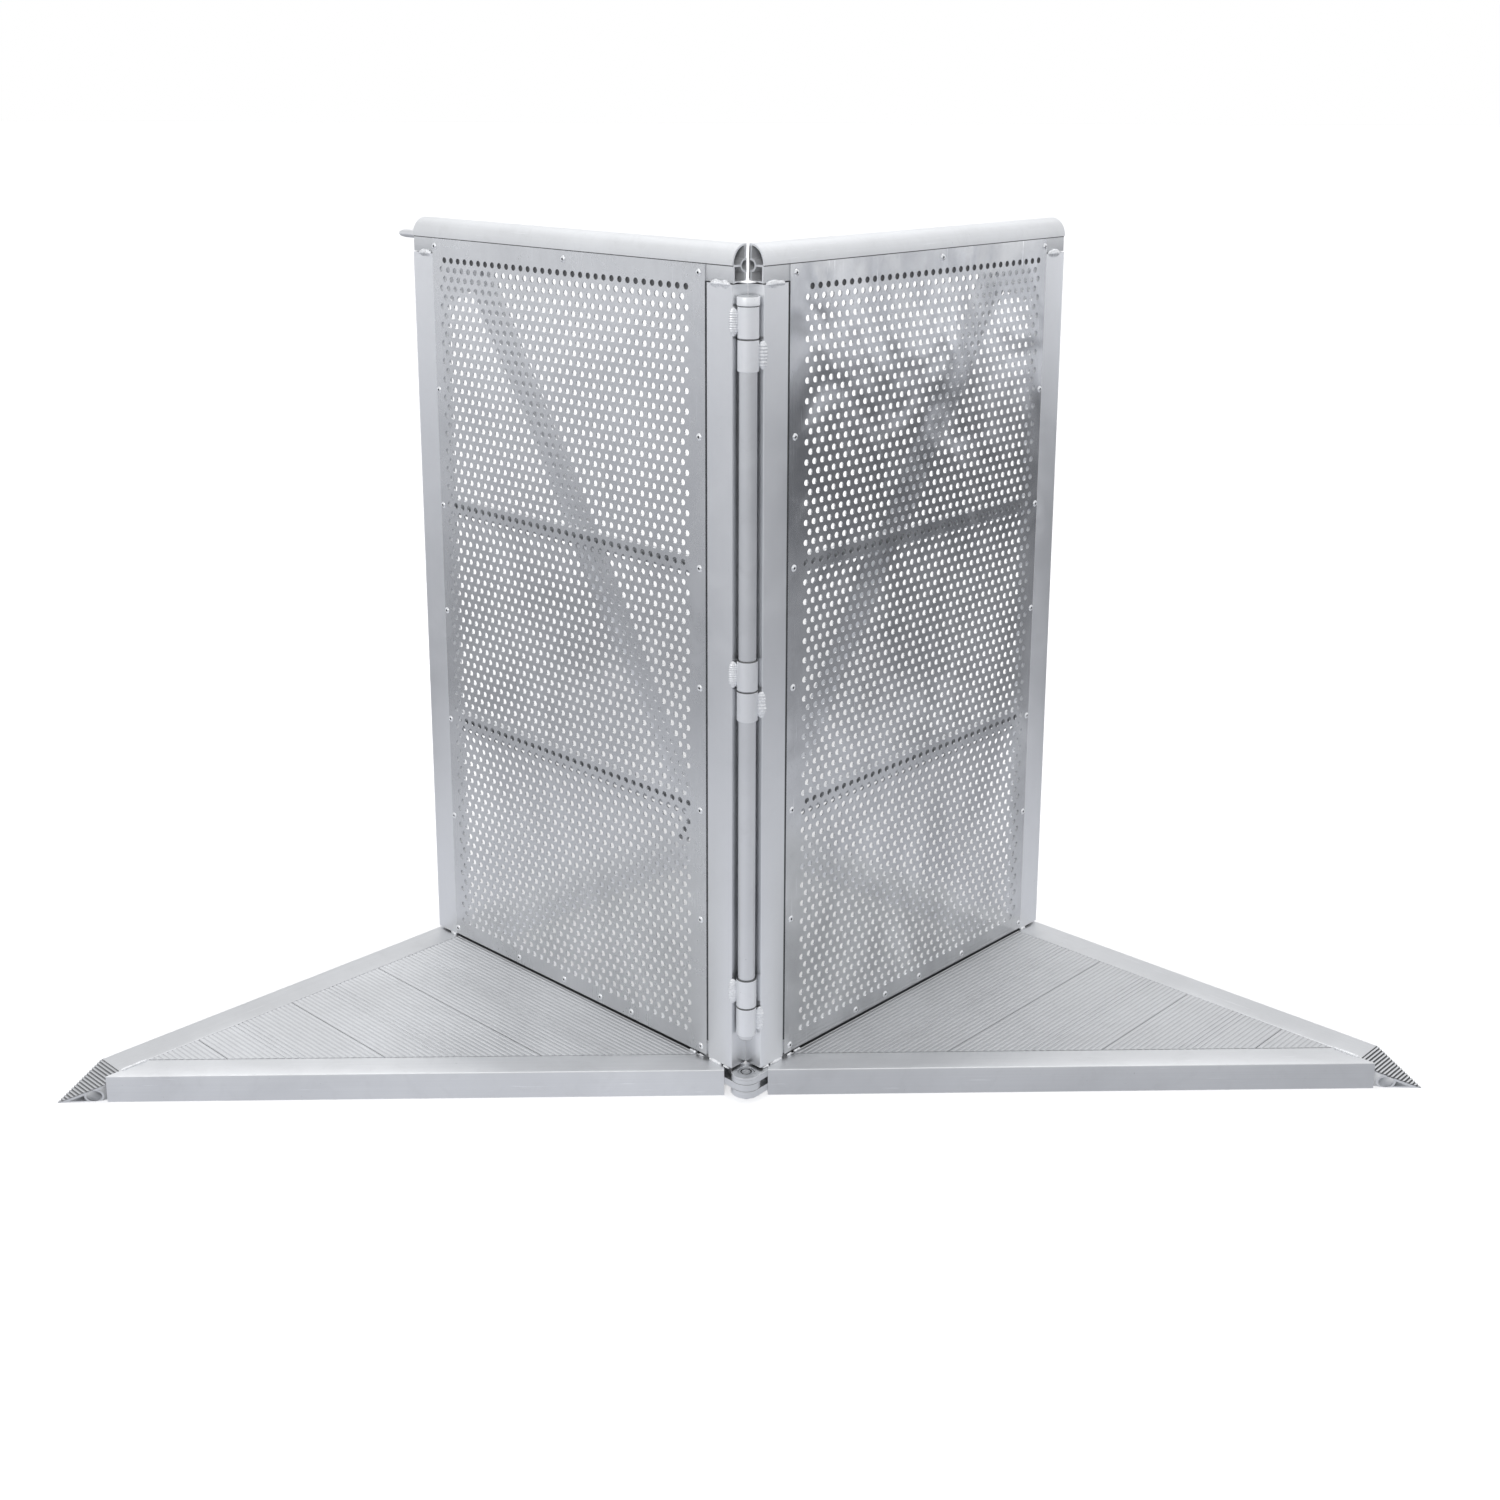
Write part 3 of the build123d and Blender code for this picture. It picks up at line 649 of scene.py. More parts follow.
def rivets(side):
    """Domed blind rivets, each with the hollow and snapped stem of its mandrel."""
    hollow = [(0.0, 0.5), (0.9, 0.45), (1.1, 0.15), (1.55, 0.15), (1.7, 1.4)]
    head = [(1.7, 1.4), (2.1, 1.8), (2.8, 1.75), (3.7, 1.35), (4.5, 0.75), (5.0, 0.12),
            (4.9, 0.0), (0.0, 0.0)]
    tail = [(0.0, -8.0), (2.9, -7.8), (3.4, -7.0), (3.4, -5.2), (2.4, -5.0), (2.4, 0.0)]
    bm = bmesh.new()
    for u, z in rivet_places(side):
        place = lambda a, b, height: leaf_point(side, u + a, -height, z + b)
        lathe(bm, head, place, 24)
        lathe(bm, tail, place, 16)
        plain_faces = len(bm.faces)
        lathe(bm, hollow, place, 24)
        second_material(bm, plain_faces)
    piece = leaf_piece(side, "rivets", bm, rivet_metal, "sheet_rivets")
    # The mandrel hollow takes the dark second material: painted shade in the recess.
    piece.data.materials.append(materials[side, "shaded_seam"])


# ---- Frame members ----
def stile(side, name, u0, flange_u):
    """Upright tube with its set-back sheet flange."""
    bm = bmesh.new()
    place = lambda z, p: leaf_point(side, p[0], p[1], z)
    outer, holes = tube_section(u0, u0 + STILE_WIDTH, 0, STILE_DEPTH, TUBE_WALL, 0.15)
    extrude_section(bm, outer, holes, lambda p: STILE_BOTTOM, lambda p: RAIL_BOTTOM - STILE_SEAM, place)
    tube_faces = len(bm.faces)
    flange = rounded_rectangle(flange_u, flange_u + FLANGE, SHEET_THICKNESS,
                               SHEET_THICKNESS + FLANGE_THICKNESS, BORE_CORNER, 1)
    extrude_section(bm, flange, [], lambda p: SHEET_BOTTOM + EDGE_RAIL_HEIGHT + 3,
                    lambda p: RAIL_BOTTOM - EDGE_RAIL_HEIGHT, place)
    second_material(bm, tube_faces)
    piece = leaf_piece(side, f"{name}_finished", bm, materials[side, "stile"], name)
    piece.data.materials.append(materials[side, "slim_tube"])
    # On the hinge stile, the flange faces that show in the gap beside the tube are painted dark: painted
    # shade in the gap.
    if u0 == 0:
        origin = leaf_point(side, STILE_WIDTH + 0.3, 0, 0)
        along = leaf_point(side, STILE_WIDTH + 1.3, 0, 0) - origin
        front = (leaf_point(side, STILE_WIDTH + 0.3, -1, 0) - origin).normalized()
        shade_faces(piece, materials[side, "shaded_seam"],
                    lambda centre, normal: (centre - origin).dot(along) > 0 and normal.dot(front) > 0.5)


def rail_outline(inset, facets=28):
    """Domed cap over upright sides, shrunk by inset."""
    centre = RAIL_DEPTH / 2
    half = centre - inset
    rise = RAIL_TOP - RAIL_LIP - inset
    foot = half - RAIL_RECESS
    bottom = RAIL_BOTTOM + inset
    angles = [math.pi * i / facets for i in range(facets + 1)]
    outline = [(centre + half * math.cos(t), RAIL_LIP + rise * math.sin(t)) for t in angles]
    outline += [(centre - foot, RAIL_LIP - 0.1), (centre - foot, RAIL_LIP - LIP_CREASE),
                (centre - foot, bottom + 0.5), (centre - foot + 0.5, bottom),
                (centre + foot - 0.5, bottom), (centre + foot, bottom + 0.5),
                (centre + foot, RAIL_LIP - LIP_CREASE), (centre + foot, RAIL_LIP - 0.1)]
    return outline


def rail_cavity(sign_v, sign_z):
    """One of the four hollows between the cap, the webs and the round channel."""
    centre = RAIL_DEPTH / 2
    half = centre - RAIL_WALL
    rise = RAIL_TOP - RAIL_LIP - RAIL_WALL
    foot = half - RAIL_RECESS
    first = math.asin(RAIL_WEB / RAIL_BOSS)
    arc = [first + (math.pi / 2 - 2 * first) * i / 8 for i in range(9)]
    outline = [(centre + sign_v * RAIL_BOSS * math.cos(t),
                CHANNEL_LEVEL + sign_z * RAIL_BOSS * math.sin(t)) for t in arc]
    if sign_z > 0:
        steepest = math.acos(RAIL_WEB / half)
        sweep = [steepest - (steepest - 0.05) * i / 12 for i in range(13)]
        outline += [(centre + sign_v * half * math.cos(t), RAIL_LIP + rise * math.sin(t)) for t in sweep]
        outline.append((centre + sign_v * half, CHANNEL_LEVEL + RAIL_WEB))
    else:
        outline += [(centre + sign_v * RAIL_WEB, RAIL_BOTTOM + RAIL_WALL),
                    (centre + sign_v * foot, RAIL_BOTTOM + RAIL_WALL),
                    (centre + sign_v * foot, CHANNEL_LEVEL - RAIL_WEB)]
    return outline


def top_rail(side):
    """Handrail extrusion, open at its ends so that the webs and the round channel show."""
    bm = bmesh.new()
    holes = [rail_cavity(a, b) for a in (-1, 1) for b in (-1, 1)]
    holes.append(circle(RAIL_DEPTH / 2, CHANNEL_LEVEL, CHANNEL_RADIUS, 20))
    extrude_section(bm, rail_outline(0), holes, lambda p: max(0, past_centre(p[0])), lambda p: LEAF_WIDTH,
                    along_panel(side))
    piece = leaf_piece(side, "handrail", bm, materials[side, "rail"], "top_rail", 50)
    # The upright faces of the lip crease are painted dark: painted shade in the crease.
    crease = (RAIL_LIP - LIP_CREASE / 2) * MM
    half_crease = LIP_CREASE / 2 * MM
    shade_faces(piece, materials[side, "shaded_seam"],
                lambda centre, normal: abs(centre.z - crease) < half_crease and abs(normal.z) < 0.1)
    along = (leaf_point(side, 1, 0, 0) - leaf_point(side, 0, 0, 0)).normalized()
    shade_faces(piece, cut_metal, lambda centre, normal: abs(normal.dot(along)) > 0.5)


def slim_tubes(side):
    """Head and bottom rails behind the sheet, and the two cross rails."""
    edge_rear = SHEET_THICKNESS + EDGE_RAIL_DEPTH
    cross_front = SHEET_THICKNESS + FLANGE_THICKNESS
    half = CROSS_RAIL_SIZE / 2
    sections = {
        "head_rail": (SHEET_THICKNESS, edge_rear, RAIL_BOTTOM - EDGE_RAIL_HEIGHT, RAIL_BOTTOM),
        "bottom_rail": (SHEET_THICKNESS, edge_rear, SHEET_BOTTOM, SHEET_BOTTOM + EDGE_RAIL_HEIGHT),
    }
    for name, level in CROSS_RAILS.items():
        sections[f"{name}_cross_rail"] = (cross_front, cross_front + CROSS_RAIL_SIZE,
                                          level - half, level + half)
    for name, limits in sections.items():
        piece = straight_tube(side, name, materials[side, "slim_tube"], tube_section(*limits, SLIM_WALL),
                              lambda p: STILE_WIDTH, lambda p: SHEET_END, along_panel(side))
        # The head rail's front faces, seen through the top row of holes, are painted dark: painted shade
        # behind the sheet.
        if name == "head_rail":
            shade_faces(piece, materials[side, "shaded_seam"], lambda centre, normal: normal.y < -0.5)


# ---- Floor plate ----
def plate_tubes(side):
    """Front, side and panel tubes of the triangular floor plate."""
    rear_line = PLATE_FRONT + FRONT_TUBE_WIDTH
    mitre = HINGE_CORNER[0] + SIDE_TUBE_INNER / math.cos(TURN) + HINGE_CORNER[1]
    piece = straight_tube(side, "front_tube", materials[side, "front_tube"],
                          tube_section(PLATE_FRONT, rear_line, 0, PLATE_HEIGHT, TUBE_WALL),
                          lambda p: FRONT_TUBE_START, lambda p: mitre - p[0],
                          lambda x, p: side_point(side, x, p[0], p[1]))
    # The top faces and upper roundings take the lighter copy: painted light on the top of the tube.
    shade_faces(piece, materials[side, "front_tube_lit_top"], lambda centre, normal: normal.z > 0.6)
    straight_tube(side, "side_tube", materials[side, "side_tube"],
                  tube_section(SIDE_TUBE_INNER, LEAF_WIDTH, 0, PLATE_HEIGHT, TUBE_WALL),
                  lambda p: RIDGE_V, lambda p: SIDE_TUBE_REAR,
                  lambda v, p: leaf_point(side, p[0], v, p[1]))
    piece = straight_tube(side, "panel_tube", materials[side, "slim_tube"],
                          tube_section(0, PANEL_TUBE_WIDTH, 0, PLATE_HEIGHT, TUBE_WALL),
                          lambda p: max(past_centre(p[0]), behind_front_line(p[0], rear_line)),
                          lambda p: SIDE_TUBE_INNER, along_panel(side))
    # The panel tube's top under the sheet is painted dark: painted shade under the panel.
    shade_faces(piece, materials[side, "shaded_seam"], lambda centre, normal: normal.z > 0.9)


def plank_outline(v0, v1, lowest_v):
    """Ribbed top and three legs of one tread extrusion, cut off at lowest_v."""
    pitch = (v1 - v0) / RIBS
    deck = PLATE_HEIGHT - RIB_HEIGHT
    top = []
    for rib in range(RIBS):
        start = v0 + rib * pitch
        width, depth = (0.19, 1.1) if rib in WIDE_GROOVES else (0.15, 0.7)
        floor_level = PLATE_HEIGHT - depth
        top += [(start + 0.01, floor_level), (start + width * pitch, floor_level),
                (start + (width + 0.06) * pitch, PLATE_HEIGHT - 0.3),
                (start + (width + 0.16) * pitch, PLATE_HEIGHT),
                (start + 0.86 * pitch, PLATE_HEIGHT), (start + 0.95 * pitch, PLATE_HEIGHT - 0.3)]
    skin = deck - DECK_SKIN
    leg_bottom = deck - LEG_LENGTH
    middle = (v0 + v1) / 2
    half_leg = LEG_THICKNESS / 2
    under = [(v1 - 0.4, deck - 1), (v1 - 0.4, leg_bottom), (v1 - LEG_THICKNESS, leg_bottom),
             (v1 - LEG_THICKNESS, skin), (middle + half_leg, skin), (middle + half_leg, leg_bottom),
             (middle - half_leg, leg_bottom), (middle - half_leg, skin), (v0 + LEG_THICKNESS, skin),
             (v0 + LEG_THICKNESS, leg_bottom), (v0, leg_bottom)]
    if v0 >= lowest_v:
        return top + under
    kept_top = [p for p in top if p[0] > lowest_v]
    kept_under = [p for p in under if p[0] > lowest_v]
    return [(lowest_v, deck)] + kept_top + kept_under + [(lowest_v, skin)]


def tread_planks(side):
    """Four ribbed planks parallel to the panel, cut to the triangle of tubes."""
    rear_line = PLATE_FRONT + FRONT_TUBE_WIDTH
    lowest_v = behind_front_line(SIDE_TUBE_INNER - 3 * TREAD_CLEARANCE, rear_line)
    for index in range(PLANKS):
        v1 = -PLANK_GAP - index * PLANK_PITCH
        v0 = v1 - PLANK_PITCH + PLANK_GAP + PLANK_JOINT
        bm = bmesh.new()
        extrude_section(bm, plank_outline(v0, v1, lowest_v), [],
                        lambda p: behind_front_line(p[0], rear_line) + TREAD_CLEARANCE,
                        lambda p: SIDE_TUBE_INNER - TREAD_CLEARANCE, along_panel(side))
        piece = leaf_piece(side, f"tread_{index + 1}", bm, materials[side, "tread"],
                           f"tread_plank_{index + 1}", 25)
        # The rib grooves take the darker copy: painted shade in the grooves.
        shade_faces(piece, materials[side, "painted_shade_tread_groove"],
                    lambda centre, normal: 0.2 * MM < PLATE_HEIGHT * MM - centre.z < 0.75 * MM)


def ramp_nose(side):
    """Hollow wedge with a grip of small ribs, a round spigot channel and a mitred open end."""
    tip_v = RIDGE_V - NOSE_LENGTH
    slope = PLATE_HEIGHT / NOSE_LENGTH
    pitch = NOSE_LENGTH / (NOSE_RIBS + 0.5)
    outer = [(RIDGE_V, 0), (RIDGE_V, PLATE_HEIGHT - 0.2)]
    rib_shape = ((0.0, -0.9), (0.40, -0.9), (0.48, 0.6), (0.56, 0.85), (0.88, 0.85), (0.96, 0.6))
    for rib in range(NOSE_RIBS):
        for share, height in rib_shape:
            v = RIDGE_V - (rib + share) * pitch
            outer.append((v, PLATE_HEIGHT + (v - RIDGE_V) * slope + height))
    outer.append((tip_v, 0))
    inner_v = RIDGE_V - NOSE_SKIN
    inner_top = PLATE_HEIGHT - NOSE_HEEL
    under_slope = lambda v: inner_top + (v - inner_v) * slope
    ring = [p for p in circle(*NOSE_RING, NOSE_RING_RADIUS, 72)
            if p[1] > NOSE_SKIN + 0.05 and p[1] < under_slope(p[0]) - 0.05]
    front_arc = sorted((p for p in ring if p[0] < NOSE_RING[0]), key=lambda p: p[1])
    rear_arc = sorted((p for p in ring if p[0] > NOSE_RING[0]), key=lambda p: -p[1])
    tip_hollow = [(inner_v - (inner_top - NOSE_SKIN) / slope, NOSE_SKIN)] + front_arc
    heel_hollow = [(inner_v, NOSE_SKIN), (inner_v, inner_top)] + rear_arc
    bm = bmesh.new()
    extrude_section(bm, outer, [tip_hollow, heel_hollow, circle(*NOSE_RING, NOSE_BORE_RADIUS, 36)],
                    lambda p: max(SIDE_TUBE_INNER + 0.2, behind_front_line(p[0], PLATE_FRONT)),
                    lambda p: LEAF_WIDTH, along_panel(side))
    piece = leaf_piece(side, "nose", bm, materials[side, "nose"], "ramp_nose", 30)
    ridge = leaf_point(side, 0, RIDGE_V, PLATE_HEIGHT)
    forward = (leaf_point(side, 0, RIDGE_V - 1, PLATE_HEIGHT) - ridge).normalized()
    out_of_slope = (leaf_point(side, 0, RIDGE_V - slope, PLATE_HEIGHT + 1) - ridge).normalized()

    def in_groove(centre, normal):
        level = (centre - ridge).dot(out_of_slope)
        return -1.2 * MM < level < 0.2 * MM and normal.z > -0.1 and abs(normal.dot(forward)) > 0.1

    # The grip grooves take the dark copy: painted shade in the grooves.
    shade_faces(piece, materials[side, "shaded_groove"], in_groove)


# ---- Hinge ----
def knuckle_foot(side, level):
    """Lower end of a knuckle: above the level on the left leaf, below it on the right."""
    return level + KNUCKLE_GAP if side == "left" else level - KNUCKLE_GAP - KNUCKLE_LENGTH


def knuckles(side):
    """Three knuckles around the rod: the upper of each pair on the left leaf, the lower on the right."""
    bm = bmesh.new()
    for level in KNUCKLE_LEVELS:
        z0 = knuckle_foot(side, level)
        lathe(bm, ring_profile(KNUCKLE_BORE, KNUCKLE_RADIUS, z0, z0 + KNUCKLE_LENGTH), axis_point, 48)
    piece = leaf_piece(side, "knuckles", bm, knuckle_metal, "hinge_knuckles", 28)
    # Faces turned down, such as the lower chamfers, are painted dark: painted shade under each knuckle.
    shade_faces(piece, materials[side, "shaded_seam"], lambda centre, normal: normal.z < -0.4)


def knuckle_beads(side):
    """Upright beads from knuckle to stile, laid as a stack of coins on the left, in blobs on the right."""
    bm = bmesh.new()
    ripple, lumpiness, width, height = (3.2, 0.10, 13.0, 3.2) if side == "left" else (4.5, 0.3, 13.5, 3.0)
    for level in KNUCKLE_LEVELS:
        z0 = knuckle_foot(side, level)
        path = [side_point(side, 18.8, 1.1, z) for z in (z0 + 2.5, z0 + KNUCKLE_LENGTH - 2.5)]
        weld_bead(bm, path, width, height, Vector((0, -1, 0)), ripple, lumpiness, 16)
    leaf_piece(side, "knuckle_beads", bm, weld, "knuckle_welds", 60)


def rod_and_collar():
    """Satin rod with a rounded foot, and its collar above the top knuckle."""
    bend = 6.0
    foot = [(ROD_RADIUS - bend + bend * math.sin(t), ROD_BOTTOM + bend - bend * math.cos(t))
            for t in (math.pi / 2 * i / 6 for i in range(7))]
    bm = bmesh.new()
    lathe(bm, [(0, ROD_BOTTOM)] + foot + [(ROD_RADIUS, COLLAR_BOTTOM), (0, COLLAR_BOTTOM)], axis_point, 48)
    new_piece("rod_finished", bm, hinge_metal, "hinge_rod_body", ["hinge_rod"])
    top = COLLAR_BOTTOM + COLLAR_HEIGHT
    profile = [(0, COLLAR_BOTTOM), (COLLAR_RADIUS - 0.6, COLLAR_BOTTOM),
               (COLLAR_RADIUS, COLLAR_BOTTOM + 0.6), (COLLAR_RADIUS, top - 1.5),
               (COLLAR_RADIUS - 0.5, top - 0.5), (COLLAR_RADIUS - 1.5, top),
               (9.0, top), (8.4, top - 0.4), (0, top - 0.4)]
    bm = bmesh.new()
    lathe(bm, profile, axis_point, 48)
    new_piece("collar_finished", bm, knuckle_metal, "hinge_rod_body", ["rod_collar"])


def lug_outline():
    """Round head on the pivot axis with a neck that reaches the front tube."""
    angles = [math.radians(90 + 226 * i / 26) for i in range(27)]
    outline = [(LUG_RADIUS * math.cos(t), LUG_RADIUS * math.sin(t)) for t in angles]
    outline += [(FRONT_TUBE_START, PLATE_FRONT), (FRONT_TUBE_START, 30.0)]
    return outline


def lugs(side):
    """Flat floor lugs: one on the left leaf between two on the right; the top one seats the bolt head."""
    place = lambda z, p: side_point(side, p[0], p[1], z)
    bm = bmesh.new()
    for level in ((1,) if side == "left" else (0, TOP_LUG)):
        z0 = LUG_BASE + level * LUG_PITCH
        z1 = z0 + LUG_THICKNESS
        seat = BOLT_SEAT - 0.1 if level == TOP_LUG else z1
        extrude_section(bm, lug_outline(), [circle(0, 0, LUG_BORE)], lambda p: z0, lambda p: seat, place)
        if level == TOP_LUG:
            extrude_section(bm, lug_outline(), [circle(0, 0, COUNTERBORE_RADIUS, 40)],
                            lambda p: seat, lambda p: z1, place)
    piece = leaf_piece(side, "lugs", bm, lug_metal, "floor_lugs")
    add_bevel(piece, 0.6)


def pivot_bolt():
    """Flat round bolt head with a raised ring around its socket, on its shank."""
    seat = BOLT_SEAT
    top = seat + BOLT_HEAD_HEIGHT
    shank = [(0, 0), (7.2, 0), (8.0, 0.8), (8.0, seat)]
    head = [(11.3, seat), (11.5, seat + 0.3), (11.5, top - 0.7), (11.0, top - 0.1), (10.2, top)]
    shaded_groove = [(8.3, top), (7.9, top - 1.3), (6.7, top - 1.3), (6.3, top - 0.1)]
    socket = [(4.4, top - 0.1), (3.9, top - 1.8), (1.6, top - 2.0), (0, top - 1.9)]
    bm = bmesh.new()
    lathe(bm, shank + head + shaded_groove + socket, axis_point, 48)
    piece = new_piece("pivot_bolt_finished", bm, steel, "left_leaf", ["pivot_bolt"], 25)
    # The ring groove around the socket is painted dark: painted shade in the groove.
    shade_faces(piece, materials["left", "shaded_seam"],
                lambda centre, normal: (top - 1.35) * MM < centre.z < (top - 0.5) * MM
                and 6.2 * MM < centre.xy.length < 8.4 * MM)


# ---- Welds ----
def frame_beads(side):
    """Beads at the rail and at the floor plate, across the fronts and backs of the stiles."""
    bm = bmesh.new()
    front = leaf_point(side, 0, -1, 0) - leaf_point(side, 0, 0, 0)
    shaded_seam = RAIL_BOTTOM - 1.8
    for u0, u1 in ((4, 40), (LEAF_WIDTH - 43, LEAF_WIDTH - 12)):
        arch = ((u0, shaded_seam), ((u0 + u1) / 2, shaded_seam + 0.8), (u1, shaded_seam))
        weld_bead(bm, [leaf_point(side, u, 1.0, z) for u, z in arch], 11.0, 4.0, front, 2.6, 0.4, 14)
    foot_strokes = ((5, 17, 3.6), (20, 45, 5.0), (55, 65, 3.4), (70, 84, 4.6),
                    (SHEET_END + 2, SHEET_END + 16, 5.0))
    for u0, u1, width in foot_strokes:
        path = [leaf_point(side, u0, 0.8, 41.0), leaf_point(side, u1, 0.8, 41.0 + generator.random())]
        weld_bead(bm, path, width, 3.0, front, 2.6, 0.6, 12)
    for ends in ((10, 42), (SHEET_END + 5, LEAF_WIDTH - 5)):
        path = [leaf_point(side, u, STILE_DEPTH - 1.5, 41.2) for u in ends]
        weld_bead(bm, path, 4.4, 2.6, -front, 3.0, 0.3, 12)
    leaf_piece(side, "frame_beads", bm, weld, "frame_welds", 60)


def plate_beads(side):
    """Bead on the mitre between the side tube and the front tube."""
    bm = bmesh.new()
    stops = ((0, 2, 40.2), (0, 23, 40.4), (0.3, 43, 40.2))
    path = [leaf_point(side, SIDE_TUBE_INNER + u, RIDGE_V + v, z) for u, v, z in stops]
    weld_bead(bm, path, 6.0, 2.2, Vector((0, 0, 1)), 3.0, 0.2, 12)
    leaf_piece(side, "plate_beads", bm, weld, "plate_welds", 60)


# ---- Rear brace ----
def brace(side):
    """Square tube from the outer stile's top to the rear foot."""
    run = BRACE_FOOT[0] - BRACE_TOP[0]
    drop = BRACE_TOP[1] - BRACE_FOOT[1]
    length = math.hypot(run, drop)
    down = (run / length, -drop / length)
    across = (drop / length, run / length)
    half = BRACE_SIZE / 2

    def place(distance, p):
        v = BRACE_TOP[0] + down[0] * distance + across[0] * p[1]
        z = BRACE_TOP[1] + down[1] * distance + across[1] * p[1]
        return leaf_point(side, BRACE_U + p[0], v, z)

    section = tube_section(-half, half, -half, half, TUBE_WALL)
    straight_tube(side, "brace", materials[side, "brace"], section,
                  lambda p: -BRACE_OVERHANG, lambda p: length + BRACE_OVERHANG, place)


def copy_with_edges(side, node, material, width):
    """Copy of a CAD part with its flat faces joined up and its edges rounded."""
    bm = bmesh.new()
    bm.from_mesh(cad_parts[f"{side}_{node}"].data)
    bmesh.ops.remove_doubles(bm, verts=bm.verts, dist=1e-6)
    bmesh.ops.dissolve_limit(bm, angle_limit=math.radians(1), verts=bm.verts, edges=bm.edges)
    add_bevel(leaf_piece(side, f"{node}_finished", bm, material, node), width)


# ---- Coupling pin ----
def coupling_pin():
    """Bullet-nosed dowel in the left rail."""
    place = lambda a, b, length: leaf_point("left", length, RAIL_DEPTH / 2 + a, CHANNEL_LEVEL + b)
    seat = LEAF_WIDTH - PIN_SEAT
    shoulder = LEAF_WIDTH + PIN_LENGTH
    nose = [(PIN_RADIUS * math.cos(t) ** 0.8, shoulder + PIN_NOSE * math.sin(t))
            for t in (math.pi / 2 * i / 9 for i in range(9))]
    held = [(0, seat), (CHANNEL_RADIUS, seat), (CHANNEL_RADIUS, LEAF_WIDTH),
            (PIN_RADIUS, LEAF_WIDTH + 0.2)]
    bm = bmesh.new()
    lathe(bm, held + nose + [(0, shoulder + PIN_NOSE)], place, 32)
    new_piece("coupling_pin_finished", bm, hinge_metal, "left_leaf", ["left_coupling_pin"])


for side in SIDES:
    punched_sheet(side)
    rivets(side)
    stile(side, "hinge_stile", 0, STILE_WIDTH)
    stile(side, "outer_stile", SHEET_END, SHEET_END - FLANGE)
    top_rail(side)
    slim_tubes(side)
    plate_tubes(side)
    tread_planks(side)
    ramp_nose(side)
    knuckles(side)
    knuckle_beads(side)
    lugs(side)
    frame_beads(side)
    plate_beads(side)
    brace(side)
    for bracket in ("brace_top_bracket", "brace_foot_bracket"):
        copy_with_edges(side, bracket, materials[side, "brace"], 0.8)
    for fasteners in ("brace_bolts", "brace_nuts"):
        copy_with_edges(side, fasteners, steel, 0.5)
rod_and_collar()
pivot_bolt()
coupling_pin()


# ---- Stage ----
FLOOR_REACH = 60.0
MIRRORED_REACH = 16.0
FLOOR_GLOW = 0.22
FLOOR_LIGHT = 7.0
FLOOR_LIGHT_FALL = math.radians(25)
WORLD_LIGHT = 0.96
AIM = (0.0, 0.3, 0.6)
CAMERA_PLACE = (-0.0629, -2.4145, 1.4044)
CAMERA_LENS = 45.26
CAMERA_SHIFT = -0.1425
CAMERA_YAW = 0.0273
CAMERA_PITCH = 0.2379
CAMERA_ROLL = 0.0033
# Brightness of the mirrored floor and room, as (metres from the hinge, level), in three directions.
SURROUNDINGS = {
    "front": [(0.0, 0.74), (0.9, 0.72), (2.2, 0.40), (5.5, 0.48), (10.0, 0.85)],
    "left": [(0.0, 0.80), (1.1, 0.74), (2.05, 0.42), (4.7, 0.64), (10.0, 0.86)],
    "right": [(0.0, 0.70), (1.1, 0.64), (2.2, 0.36), (5.0, 0.21), (7.6, 1.0)],
}


def ground_sheet(name, reach, drop):
    """Level sheet a little below the object's feet."""
    bm = bmesh.new()
    bmesh.ops.create_grid(bm, x_segments=8, y_segments=8, size=reach)
    mesh = bpy.data.meshes.new(name)
    bm.to_mesh(mesh)
    bm.free()
    sheet = add_object(name, mesh)
    sheet.location.z = -drop
    return sheet


def plain_floor(reach):
    """Pale matt floor."""
    floor = ground_sheet("floor", reach, 0.0005)
    graph = new_material("floor")
    tone = graph.noise(graph.mapped(0.0, (1, 1, 1)), 3.0, 2.0)
    pale = graph.mix_colour(tone, (0.48, 0.48, 0.485, 1), (0.50, 0.50, 0.505, 1))
    surface = {"Base Color": pale, "Roughness": 0.9, "Specular IOR Level": 0.1,
               "Emission Color": (1, 1, 1, 1), "Emission Strength": FLOOR_GLOW}
    graph.feed(graph.tree.nodes["Principled BSDF"], surface)
    floor.data.materials.append(graph.owner)


